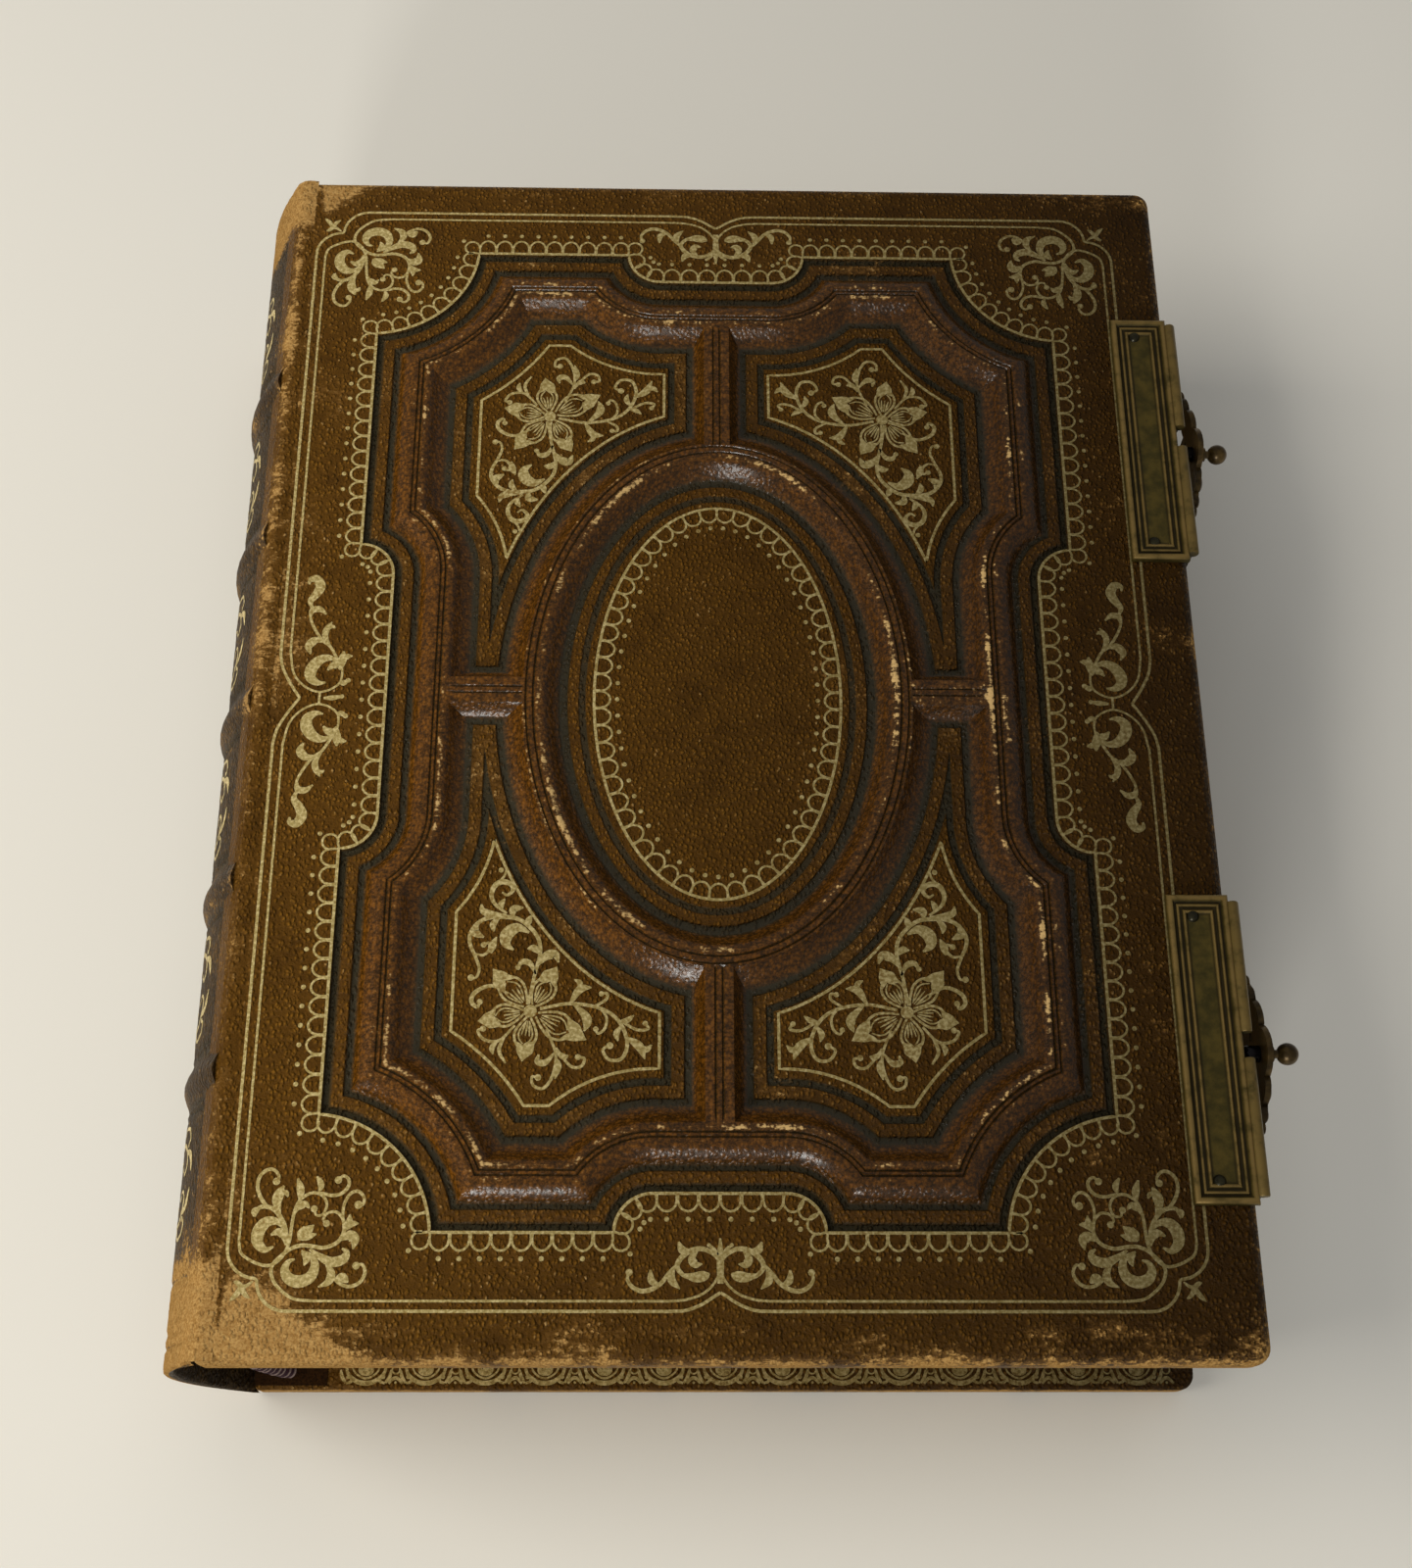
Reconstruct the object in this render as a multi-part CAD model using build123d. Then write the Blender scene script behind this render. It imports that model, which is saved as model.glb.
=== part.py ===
from build123d import *
import os
from itertools import pairwise
from math import asin, atan2, cos, degrees, sin, sqrt

# A cabinet-card photograph album bound in moulded leather, lying closed on its back cover.
# X runs from the spine to the fore edge, Y from the tail to the head, Z up through the pages.
# The origin is the middle of the back board's outer face. All lengths are in millimetres.

# Boards
board_width = 206.0           # from the joint at the spine to the fore edge
board_height = 276.0
board_thickness = 8.0
board_corner_round = 3.5      # fore corners, seen from above
edge_roll = 3.0               # leather rolled over the outer edges
joint_edge_roll = 1.6         # the same beside the spine
inner_edge_roll = 0.8

# Leaves
leaf_count = 24
leaf_pitch = 2.1              # one thick card leaf
leaf_gap = 0.35               # the line between two leaves
leaf_gap_depth = 0.6
square = 5.5                  # how far a board stands past the leaves
block_setback = 6.0           # from the joint to the shoulders of the leaves
block_round = 3.0             # bulge of the leaves' back
leaf_edge_clearance = 0.3     # leaves to the linings above and below
window_width = 98.0           # the opening for a cabinet card in the outer leaves
window_height = 138.0
window_depth = 1.1
window_bevel = 1.2
window_corner_round = 1.2

# Linings inside the boards
lining_thickness = 0.4
lining_margin = 6.5           # tooled leather left bare round the paper
joint_strip_width = 16.0      # cloth strip beside the spine
joint_strip_margin = 1.0
joint_clearance = 0.3         # either side of the line that a board turns about

# Spine
spine_bulge = 11.5
spine_thickness = 2.4
spine_shoulder = 0.8          # from the outer face of a board to the shell's edge
spine_edge = 1.4              # thickness of the shell's long edges
spine_cap_round = 0.8         # leather turned in at the head and tail
band_count = 5
band_pitch = 40.5
band_width = 6.0
band_height = 1.3
band_section_shares = [-1, -0.7, 0, 0.7, 1]    # where a band's bulge is drawn, of its half width
end_band_width = 4.0          # woven bands at the head and tail of the leaves
end_band_height = 1.7
end_band_round = 0.7

# Moulded panel of the front board, measured at its outer gold line
panel_shift = -3.0            # its middle, from the middle of the board
side_border = 23.6            # from the board's half width to the lobes
end_border = 22.9
scoop_radius = 25.0           # the large hollow corner
scoop_setback = 1.9           # its centre, out past the lobe's corner each way
notch_radius = 6.7            # the small hollow between a lobe and the waist
waist_half_width = 13.1       # centre of the notches at the head and tail
waist_half_height = 28.5      # centre of the notches at the sides
moulding_width = 18.2         # from the gold line to the foot of the inner slope
ridge_height = 2.0
panel_sink = 1.8
oval_half_width = 26.8        # at its own gold line
oval_half_height = 46.6
ring_width = 18.1             # from the oval's gold line to the outer foot of its ring
bar_half_width = 5.7          # at the foot of the bars between ring and frame
bar_top_half_width = 2.9
groove_half_width = 0.7       # the pair of fine lines along a bar
groove_depth = 0.4
field_step = 5.0              # from a foot of the mouldings to the raised field
field_slope = 0.7

# The frame from its gold line inwards: shares of moulding_width, then of ridge_height or panel_sink
frame_profile_shares = [
    (0.02, 0), (0.07, -0.6), (0.11, -0.3), (0.25, -0.3), (0.28, -0.65), (0.33, -0.65),
    (0.44, 0.62), (0.54, 1), (0.59, 1), (0.61, 0.78), (0.66, 0.78), (0.68, 1), (0.75, 1),
]
# The ring from its outer shoulder inwards: shares of ring_width, then heights as above
ring_profile_shares = [
    (0.69, 1), (0.67, 0.78), (0.61, 0.78), (0.59, 1), (0.54, 1), (0.31, -1),
]
ring_shoulder_share = 0.72    # outer edge of the ring's top
slope_foot_share = 0.98       # foot of the frame's inner slope
field_level_share = -0.68     # the raised fields, as a share of panel_sink

# Clasps
clasp_insets = {"head": 71.0, "tail": 62.0}    # their middles, from the boards' head and tail
plate_length = 64.0
plate_width = 13.0            # on the face of the board
plate_thickness = 0.9
rim_width = 1.5
rim_height = 0.9
bead_inset = 2.3
bead_width = 0.9
bead_height = 0.6
moulding_round = 0.25
lip_radius = 1.35             # the rolled lip over the fore edge
lip_shortfall = 1.6           # at each end of the plate
notch_width = 5.4             # gap in the lip for the catch stud
web_thickness = 0.8
web_reach = 8.2               # down the fore edge of the board
pin_head_radius = 1.35
pin_head_height = 0.9
pin_shank_radius = 0.6
pin_shank_length = 4.0
pin_inset = 4.6               # from an end of the plate
pin_side = 5.4                # from the plate's inner side
pin_clearance = 0.05
flush_pin_radius = 1.2        # countersunk head of a pin under the back board
flush_pin_taper = 0.6
base_plate_width = 12.0
base_plate_rise = 0.15        # kept off the table
blind_line_insets = [9.0, 12.0]   # plain lines pressed into the back board, from its edges
blind_line_width = 0.6
blind_line_depth = 0.3

# Clasp straps and their hinges
hinge_pin_radius = 0.75
hinge_clearance = 0.05
knuckle_radius = 2.0
knuckle_gap = 0.3
centre_knuckle_length = 9.0
outer_knuckle_length = 4.5
hinge_height = 3.2
hinge_standoff = 2.3          # pin's axis, out from the base plate's web
strap_thickness = 1.2
strap_clearance = 0.5         # strap to the front plate's lip
crest_bow = 2.6
crest_half_width = 17.0
crest_height = 61.5           # middle of the crest above the table
arm_foot_half_width = 4.2
arm_waist_half_width = 5.6
arm_spread_half_width = 8.5
arm_foot_rise = 9.0           # where the arm has bowed out from its hinge
boss_radii_shares = [0.36, 0.22, 0.14, 0.1]    # crest lobes, of crest_half_width
boss_place_shares = [0.0, 0.46, 0.74, 0.9]
boss_dome_shares = [0.17, 0.13, 0.1, 0.085]
boss_flatness_share = 0.42    # a boss's rise, as a share of its radius
pierce_radius = 1.1
pierce_side_share = 0.27
pierce_drop_share = 0.24
knob_radius = 2.3
knob_neck_radius = 0.9
knob_neck_length = 0.7
knob_collar_radius = 1.6
knob_collar_length = 0.5
crest_drill_length = 16.0     # runs through the crest and its bosses, from both sides
stud_radius = 1.75
stud_clearance = 0.5

overrun = 2.0                 # how far a cutting tool runs past what it cuts

# Levels and places worked out from the sizes
block_thickness = leaf_count * leaf_pitch
pin_hole_depth = pin_shank_length
lining_top = board_thickness + lining_thickness
block_low = lining_top + leaf_edge_clearance
block_high = block_low + block_thickness
upper_lining = block_high + leaf_edge_clearance
front_inner = upper_lining + lining_thickness
front_outer = front_inner + board_thickness
joint_x = -board_width / 2
fore_x = board_width / 2
block_length = board_height - 2 * square
block_fore = fore_x - square
block_back = joint_x + block_setback
web_outer = fore_x + web_thickness
lip_outer = web_outer + lip_radius
hinge_x = web_outer + hinge_standoff
crest_chord_x = lip_outer + strap_clearance
panel_half_width = board_width / 2 - side_border
panel_half_height = board_height / 2 - end_border
panel_place = Pos(panel_shift, 0, 0)
clasp_places = {
    "head": board_height / 2 - clasp_insets["head"],
    "tail": clasp_insets["tail"] - board_height / 2,
}


def block(x_range, y_range, z_range):
    """A plain block between pairs of coordinates."""
    low = Vector(x_range[0], y_range[0], z_range[0])
    high = Vector(x_range[1], y_range[1], z_range[1])
    size = high - low
    return Pos(*(low + high) / 2) * Box(size.X, size.Y, size.Z)


def drum(centre, radius, length, along):
    """A round bar of that length whose middle is at the centre, along an axis."""
    turn = {"x": Rot(0, 90, 0), "y": Rot(90, 0, 0), "z": Rot(0, 0, 0)}[along]
    return Pos(*centre) * turn * Cylinder(radius, length)


def loft_between(lower, upper):
    return loft([lower, upper], ruled=True)


# Boards

def rolled_board(inner_z, outer_z):
    """A board with rounded fore corners, and leather rolled over its edges on the outer side."""
    outward = 1 if outer_z > inner_z else -1
    half = board_height / 2
    shape = block((joint_x + joint_clearance, fore_x), (-half, half), sorted((inner_z, outer_z)))
    fore_corners = shape.edges().filter_by(Axis.Z).group_by(Axis.X)[-1]
    shape = fillet(fore_corners, board_corner_round)
    outer_edges = shape.faces().sort_by(Axis.Z)[-1 if outward > 0 else 0].edges()
    beside_spine = outer_edges.sort_by(Axis.X)[0]
    shape = fillet([e for e in outer_edges if e != beside_spine], edge_roll)
    outer_face = shape.faces().sort_by(Axis.Z)[-1 if outward > 0 else 0]
    shape = fillet(outer_face.edges().sort_by(Axis.X)[0], joint_edge_roll)
    inner_edges = shape.faces().sort_by(Axis.Z)[0 if outward > 0 else -1].edges()
    return fillet(inner_edges.sort_by(Axis.X)[1:], inner_edge_roll)


# Moulded panel

def level(share):
    """Height on the front board: a positive share rises to the ridges, a negative one sinks."""
    return front_outer + share * (ridge_height if share > 0 else panel_sink)


def quarter_outline(inset):
    """One quarter of the panel's outline, parallel to its gold line and that far inside it."""
    notch, scoop = notch_radius + inset, scoop_radius + inset
    side, end = panel_half_width - inset, panel_half_height - inset
    past_notch = sqrt(notch ** 2 - inset ** 2)
    notch_turn = degrees(asin(inset / notch))
    scoop_x, scoop_y = panel_half_width + scoop_setback, panel_half_height + scoop_setback
    drop = scoop_setback + inset
    scoop_reach = sqrt(scoop ** 2 - drop ** 2)
    scoop_start = 180 + degrees(atan2(drop, scoop_reach))
    scoop_end = 270 - degrees(atan2(drop, scoop_reach))
    return [
        CenterArc((waist_half_width, panel_half_height), notch, -90, 90 - notch_turn),
        Line((waist_half_width + past_notch, end), (scoop_x - scoop_reach, end)),
        CenterArc((scoop_x, scoop_y), scoop, scoop_start, scoop_end - scoop_start),
        Line((side, scoop_y - scoop_reach), (side, waist_half_height + past_notch)),
        CenterArc((panel_half_width, waist_half_height), notch, 90 + notch_turn, 90 - notch_turn),
    ]


def panel_outline(inset, height):
    """The whole outline as a face at that height."""
    quarter = quarter_outline(inset)
    right = quarter + [mirror(e, about=Plane.XZ) for e in quarter]
    waist_end, waist_side = panel_half_height - notch_radius - inset, panel_half_width - notch_radius - inset
    head = Line((-waist_half_width, waist_end), (waist_half_width, waist_end))
    side = Line((waist_side, -waist_half_height), (waist_side, waist_half_height))
    edges = right + [mirror(e, about=Plane.YZ) for e in right]
    edges += [head, mirror(head, about=Plane.XZ), side, mirror(side, about=Plane.YZ)]
    return Pos(0, 0, height) * make_face(edges)


def oval_outline(outset, height):
    """The oval, that far outside its own gold line."""
    return Pos(0, 0, height) * Ellipse(oval_half_width + outset, oval_half_height + outset)


def bar_outlines(half_width, height):
    """The upright and level bars as long rectangles that reach under the frame."""
    tall, wide = 2 * panel_half_height, 2 * panel_half_width
    return [
        Pos(0, 0, height) * Rectangle(2 * half_width, tall),
        Pos(0, 0, height) * Rectangle(wide, 2 * half_width),
    ]


def mould(body, outline, width, profile):
    """Works a profile into the body, one slope after another: a fall cuts and a rise adds."""
    for (start, low), (finish, high) in pairwise(profile):
        if low == high:
            continue
        slope = loft_between(outline(start * width, level(low)), outline(finish * width, level(high)))
        body = body + slope if high > low else body - slope
    return body


def between_mouldings(frame, ring, bars, low, high):
    """What lies inside the frame, outside the ring and between the bars. Each pair is a size at
    the low level and one at the high level."""
    shape = loft_between(panel_outline(frame[0], level(low)), panel_outline(frame[1], level(high)))
    shape -= loft_between(oval_outline(ring[0], level(low)), oval_outline(ring[1], level(high)))
    for foot, top in zip(bar_outlines(bars[0], level(low)), bar_outlines(bars[1], level(high))):
        shape -= loft_between(foot, top)
    return shape


def bar_grooves():
    """The fine line sunk along each bar, from the frame's groove to the ring's."""
    depth = (level(1) - groove_depth, level(1) + overrun)
    frame_inset = frame_profile_shares[10][0] * moulding_width
    ring_outset = ring_profile_shares[1][0] * ring_width
    width = (-groove_half_width, groove_half_width)
    upright = (oval_half_height + ring_outset, panel_half_height - notch_radius - frame_inset)
    across = (oval_half_width + ring_outset, panel_half_width - notch_radius - frame_inset)
    head, right = block(width, upright, depth), block(across, width, depth)
    return [head, mirror(head, about=Plane.XZ), right, mirror(right, about=Plane.YZ)]


def front_board_shape():
    """The moulded front board: a lobed frame, an oval ring, four bars and sunk spandrels."""
    foot = slope_foot_share * moulding_width
    shoulder = frame_profile_shares[-1][0] * moulding_width
    ring_shoulder = ring_shoulder_share * ring_width
    body = Pos(-panel_shift, 0, 0) * rolled_board(front_inner, front_outer)
    body = mould(body, panel_outline, moulding_width, frame_profile_shares)
    body = mould(body, oval_outline, ring_width, ring_profile_shares)
    body -= between_mouldings(
        (foot, shoulder), (ring_width, ring_shoulder), (bar_half_width, bar_top_half_width), -1, 1
    )
    field, field_top = foot + field_step, foot + field_step + field_slope
    around, around_top = ring_width + field_step - field_slope, ring_width + field_step
    beside, beside_top = bar_half_width + field_step - field_slope, bar_half_width + field_step
    body += between_mouldings(
        (field, field_top), (around, around_top), (beside, beside_top), -1, field_level_share
    )
    oval_foot = ring_profile_shares[-1][0] * ring_width - field_step / 2
    body += loft_between(
        oval_outline(oval_foot, level(-1)), oval_outline(oval_foot - field_slope, level(field_level_share))
    )
    for groove in bar_grooves():
        body -= groove
    body = panel_place * body
    for x, y in all_pin_places():
        body -= drum((x, y, front_outer), pin_shank_radius + pin_clearance, 2 * pin_hole_depth, "z")
    return body


def blind_line(inset):
    """A plain rectangular line pressed into the back board's outer face."""
    width, height = board_width - 2 * inset, board_height - 2 * inset
    inner = Rectangle(width - 2 * blind_line_width, height - 2 * blind_line_width)
    return extrude(Rectangle(width, height) - inner, amount=blind_line_depth, both=True)


def back_board_shape():
    """The back board: two plain lines, and let in for the two clasp base plates."""
    body = rolled_board(board_thickness, 0)
    for inset in blind_line_insets:
        body -= blind_line(inset)
    for x, y in all_pin_places():
        body -= drum((x, y, base_plate_rise), pin_shank_radius + pin_clearance, 2 * pin_hole_depth, "z")
    for middle in clasp_places.values():
        body -= block(
            (fore_x - base_plate_width, fore_x + overrun),
            (middle - plate_length / 2, middle + plate_length / 2),
            (-overrun, base_plate_rise + plate_thickness),
        )
    return body


# Linings

def lining(low):
    """The paper lining inside a board, with tooled leather left bare round it."""
    half = board_height / 2 - lining_margin
    return block(
        (joint_x + joint_strip_width, fore_x - lining_margin), (-half, half), (low, low + lining_thickness)
    )


def joint_strip(low):
    """The cloth strip over the joint inside a board."""
    half = board_height / 2 - joint_strip_margin
    return block(
        (joint_x + joint_clearance, joint_x + joint_strip_width), (-half, half), (low, low + lining_thickness)
    )


# Leaves and spine

def upright_face(back, bulge, fore, low, high):
    """A face in the XZ plane: straight at the top, bottom and fore side, bowed at the back."""
    arc = ThreePointArc((back, low), (back - bulge, (low + high) / 2), (back, high))
    return Plane.XZ * make_face([arc, *Polyline((back, high), (fore, high), (fore, low), (back, low)).edges()])


def along_y(face, length):
    return extrude(face, amount=length / 2, both=True)


def page_block_shape():
    """All the card leaves as one solid, with the lines between them and the outer windows."""
    body = along_y(upright_face(block_back, block_round, block_fore, block_low, block_high), block_length)
    half = block_length / 2
    inner = half - leaf_gap_depth
    for leaf in range(1, leaf_count):
        z = block_low + leaf * leaf_pitch
        gap = (z - leaf_gap / 2, z + leaf_gap / 2)
        line = block((block_back, block_fore + overrun), (-half - overrun, half + overrun), gap)
        line -= block((block_back, block_fore - leaf_gap_depth), (-inner, inner), gap)
        body -= line
    window_x = (block_back + block_fore) / 2
    opening_width, opening_height = window_width + 2 * window_bevel, window_height + 2 * window_bevel
    for face_z, floor_z in ((block_high, block_high - window_depth), (block_low, block_low + window_depth)):
        opening = RectangleRounded(opening_width, opening_height, window_corner_round + window_bevel)
        floor = RectangleRounded(window_width, window_height, window_corner_round)
        body -= Pos(window_x, 0, 0) * loft_between(Pos(0, 0, floor_z) * floor, Pos(0, 0, face_z) * opening)
    return body


def spine_arc_face(bulge, back, inset=0):
    """The area between an arc across the back and the straight line that closes it."""
    low, high = spine_shoulder + inset, front_outer - spine_shoulder - inset
    arc = ThreePointArc((back, low), (back - bulge, (low + high) / 2), (back, high))
    return Plane.XZ * make_face([arc, Line((back, high), (back, low))])


def raised_band(middle):
    """One raised band across the spine, rounded along its length."""
    back = joint_x - joint_clearance
    sections = []
    for share in band_section_shares:
        height = band_height * sqrt(1 - share ** 2)
        place = Pos(0, middle + share * band_width / 2, 0)
        sections.append(place * spine_arc_face(spine_bulge + height, back))
    return loft(sections, ruled=True)


def spine_shape():
    """The hollow leather back: a bowed shell with raised bands, open at head and tail."""
    back = joint_x - joint_clearance
    body = along_y(spine_arc_face(spine_bulge, back), board_height)
    caps = [body.edges().group_by(Axis.Y)[end].sort_by(Edge.length)[-1] for end in (0, -1)]
    body = fillet(caps, spine_cap_round)
    for place in range(band_count):
        body += raised_band((place - (band_count - 1) / 2) * band_pitch)
    hollow = spine_arc_face(spine_bulge - spine_thickness, back, spine_edge)
    hollow = along_y(hollow, board_height + 2 * overrun)
    return body - hollow


def end_band(end):
    """A woven band sewn on the leaves' back, at the head (end 1) or the tail (end -1)."""
    outer = upright_face(block_back, block_round, block_back + end_band_width, block_low, block_high)
    inner = Pos(end_band_width, 0, 0) * outer
    strip = extrude(outer - inner, amount=end_band_height)
    strip = Pos(0, end * block_length / 2 + (end_band_height if end > 0 else 0), 0) * strip
    far_face = strip.faces().sort_by(Axis.Y)[-1 if end > 0 else 0]
    return fillet(far_face.edges(), end_band_round)


# Clasp plates on the front board

def frame_ring(x_range, half_length, width, low, height):
    """A rectangular moulding with its upper edges softened."""
    ring = block(x_range, (-half_length, half_length), (low, low + height))
    inner = (x_range[0] + width, x_range[1] - width)
    inner_half = half_length - width
    ring -= block(inner, (-inner_half, inner_half), (low - overrun, low + height + overrun))
    return fillet(ring.faces().sort_by(Axis.Z)[-1].edges(), moulding_round)


def pin_places():
    """Middles of one plate's two pins, with Y from the middle of the plate."""
    x = fore_x - plate_width + pin_side
    return [(x, end * (plate_length / 2 - pin_inset)) for end in (-1, 1)]


def all_pin_places():
    return [(x, middle + y) for middle in clasp_places.values() for x, y in pin_places()]


def catch_plate_shape():
    """A stepped brass plate with a web down the fore edge and a rolled lip, notched for the stud."""
    low, half = front_outer, plate_length / 2
    face = low + plate_thickness
    inner_x, outer_x = fore_x - plate_width, fore_x - lip_radius / 2
    plate = block((inner_x, web_outer), (-half, half), (low, face))
    plate += block((fore_x, web_outer), (-half, half), (low - web_reach, low))
    plate += frame_ring((inner_x, outer_x), half, rim_width, face, rim_height)
    plate += frame_ring(
        (inner_x + bead_inset, outer_x - bead_inset), half - bead_inset, bead_width, face, bead_height
    )
    lip_length = plate_length - 2 * lip_shortfall
    plate += drum((web_outer, 0, face), lip_radius, lip_length, "y")
    notch_depth = (low - web_reach - overrun, face + rim_height + overrun)
    plate -= block((fore_x, lip_outer + overrun), (-notch_width / 2, notch_width / 2), notch_depth)
    for x, y in pin_places():
        plate -= drum((x, y, low), pin_shank_radius + pin_clearance, 2 * (plate_thickness + overrun), "z")
    return plate


def face_pin():
    """A domed pin, head up, whose head sits on the level z = 0."""
    crown = (pin_head_radius ** 2 + pin_head_height ** 2) / (2 * pin_head_height)
    turn = asin(pin_head_radius / crown) / 2
    middle = (crown * sin(turn), pin_head_height - crown * (1 - cos(turn)))
    curve = ThreePointArc((0, pin_head_height), middle, (pin_head_radius, 0))
    outline = [
        curve,
        *Polyline(
            (pin_head_radius, 0), (pin_shank_radius, 0), (pin_shank_radius, -pin_shank_length),
            (0, -pin_shank_length), (0, pin_head_height),
        ).edges(),
    ]
    return revolve(Plane.XZ * make_face(outline), Axis.Z)


# Clasp straps and their hinges

def base_plate_shape():
    """The plate let in under the back board, turned up its fore edge to carry two knuckles."""
    low, half = base_plate_rise, plate_length / 2
    top = low + plate_thickness
    plate = block((fore_x - base_plate_width, web_outer), (-half, half), (low, top))
    plate += block((fore_x, web_outer), (-half, half), (low, board_thickness))
    inner = centre_knuckle_length / 2 + knuckle_gap
    outer = inner + outer_knuckle_length
    for span in ((inner, outer), (-outer, -inner)):
        middle = sum(span) / 2
        plate += drum((hinge_x, middle, hinge_height), knuckle_radius, outer_knuckle_length, "y")
        leaf = (hinge_height - knuckle_radius, hinge_height + knuckle_radius / 2)
        plate += block((web_outer, hinge_x), span, leaf)
    for x, y in pin_places():
        plate -= Pos(x, y, low) * flush_pin(pin_clearance)
    return plate - drum((hinge_x, 0, hinge_height), hinge_pin_radius + hinge_clearance, 2 * outer + overrun, "y")


def flush_pin(clearance):
    """A countersunk pin, head down, whose head is flush with the level z = 0."""
    head, shank = flush_pin_radius + clearance, pin_shank_radius + clearance
    outline = Polyline(
        (0, 0), (head, 0), (shank, flush_pin_taper), (shank, pin_shank_length), (0, pin_shank_length), close=True
    )
    return revolve(Plane.XZ * make_face(outline), Axis.Z)


def hinge_pin_shape():
    length = centre_knuckle_length + 2 * (knuckle_gap + outer_knuckle_length)
    return drum((hinge_x, 0, hinge_height), hinge_pin_radius, length, "y")


def crest_shell():
    """The bowed sheet that the crest is cut from."""
    chord = crest_half_width
    radius = (chord ** 2 + crest_bow ** 2) / (2 * crest_bow)
    centre = crest_chord_x + crest_bow - radius
    tall = 2 * chord
    outer = Cylinder(radius + strap_thickness, tall) - Cylinder(radius, tall + overrun)
    half = block((centre + radius / 2, centre + 2 * radius), (-chord, chord), (0, 2 * crest_height))
    return (Pos(centre, 0, crest_height) * outer) & half


def crest_inner_x(place):
    """How far out the crest's inner face lies, at that place along Y."""
    radius = (crest_half_width ** 2 + crest_bow ** 2) / (2 * crest_bow)
    centre = crest_chord_x + crest_bow - radius
    return centre + sqrt(radius ** 2 - place ** 2)


def crest_bosses():
    """Each boss along the crest: its place along Y, its lobe's radius and its dome's radius."""
    bosses = []
    for place, lobe, dome in zip(boss_place_shares, boss_radii_shares, boss_dome_shares):
        for side in (-1, 1) if place else (1,):
            bosses.append([side * place * crest_half_width, lobe * crest_half_width, dome * crest_half_width])
    return bosses


def crest_outline():
    """The crest seen from the fore edge: a chain of lobes that shrink towards both ends."""
    shape = Sketch()
    for place, lobe, _ in crest_bosses():
        shape += Pos(place, crest_height) * Circle(lobe)
    return shape


def dome(place, radius):
    """A flattened boss on the crest's outer face."""
    flat = scale(Sphere(radius), by=(boss_flatness_share, 1, 1))
    return Pos(crest_inner_x(place) + strap_thickness, place, crest_height) * flat


def arm_shape():
    """The arm of a strap: a bowed strip, waisted between its foot and the crest."""
    inner = crest_chord_x + crest_bow
    foot, knee, top = hinge_height, hinge_height + arm_foot_rise, crest_height
    half = strap_thickness / 2
    outer_curve = Spline((hinge_x + half, foot), (inner + strap_thickness, knee), tangents=((0, 1), (0, 1)))
    inner_curve = Spline((hinge_x - half, foot), (inner, knee), tangents=((0, 1), (0, 1)))
    face = make_face([
        outer_curve, inner_curve,
        Line((inner + strap_thickness, knee), (inner + strap_thickness, top)),
        Line((inner, knee), (inner, top)), Line((inner, top), (inner + strap_thickness, top)),
        Line((hinge_x + half, foot), (hinge_x - half, foot)),
    ])
    strip = along_y(Plane.XZ * face, 2 * crest_half_width)
    waist = (knee + top) / 2
    sides = []
    for side in (-1, 1):
        sides.append(Spline(
            (side * arm_foot_half_width, foot), (side * arm_waist_half_width, waist),
            (side * arm_spread_half_width, top),
        ))
    ends = [
        Line((-arm_foot_half_width, foot), (arm_foot_half_width, foot)),
        Line((-arm_spread_half_width, top), (arm_spread_half_width, top)),
    ]
    front_view = extrude(Plane.YZ * make_face(sides + ends), amount=2 * fore_x)
    return strip & front_view


def strap_shape():
    """A cast strap: knuckle, bowed arm, and a pierced crest with domed bosses."""
    strap = crest_shell() & extrude(Plane.YZ * crest_outline(), amount=2 * fore_x)
    strap += arm_shape()
    strap += drum((hinge_x, 0, hinge_height), knuckle_radius, centre_knuckle_length, "y")
    for place, _, radius in crest_bosses():
        strap += dome(place, radius)
    drop = crest_height - pierce_drop_share * crest_half_width
    for side in (-1, 1):
        place = side * pierce_side_share * crest_half_width
        strap -= drum((crest_inner_x(place), place, drop), pierce_radius, crest_drill_length, "x")
    strap -= drum((hinge_x, 0, crest_height), knob_neck_radius + pin_clearance, crest_drill_length, "x")
    return strap - drum(
        (hinge_x, 0, hinge_height), hinge_pin_radius + hinge_clearance, centre_knuckle_length + overrun, "y"
    )


def turned(profile, place):
    """Turns a closed profile of (distance out, radius) points round the X axis at a place."""
    face = make_face(Polyline(*profile, close=True))
    return Pos(*place) * revolve(face, Axis.X)


def knob_shape():
    """The ball knob, with its collar and the shank that runs through the crest."""
    face = crest_inner_x(0) + strap_thickness + boss_flatness_share * crest_bosses()[0][2]
    back = crest_inner_x(0)
    collar_end = knob_collar_length
    ball = collar_end + knob_neck_length + knob_radius
    shape = turned(
        [(back - face, 0), (back - face, knob_neck_radius), (0, knob_neck_radius), (0, knob_collar_radius),
         (collar_end, knob_collar_radius), (collar_end, knob_neck_radius), (ball, knob_neck_radius), (ball, 0)],
        (face, 0, crest_height),
    )
    return shape + Pos(face + ball, 0, crest_height) * Sphere(knob_radius)


def stud_shape():
    """The domed catch stud behind the crest, which drops into the lip's notch."""
    back = crest_inner_x(stud_radius)
    tip = web_outer + stud_clearance
    dome = tip + stud_radius
    stud = drum(((dome + back) / 2, 0, crest_height), stud_radius, back - dome, "x")
    return stud + Pos(dome, 0, crest_height) * Sphere(stud_radius)


def at_clasps(shape):
    """The same shape at both clasps, as one group."""
    return Compound([Pos(0, middle, 0) * shape for middle in clasp_places.values()])


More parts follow.
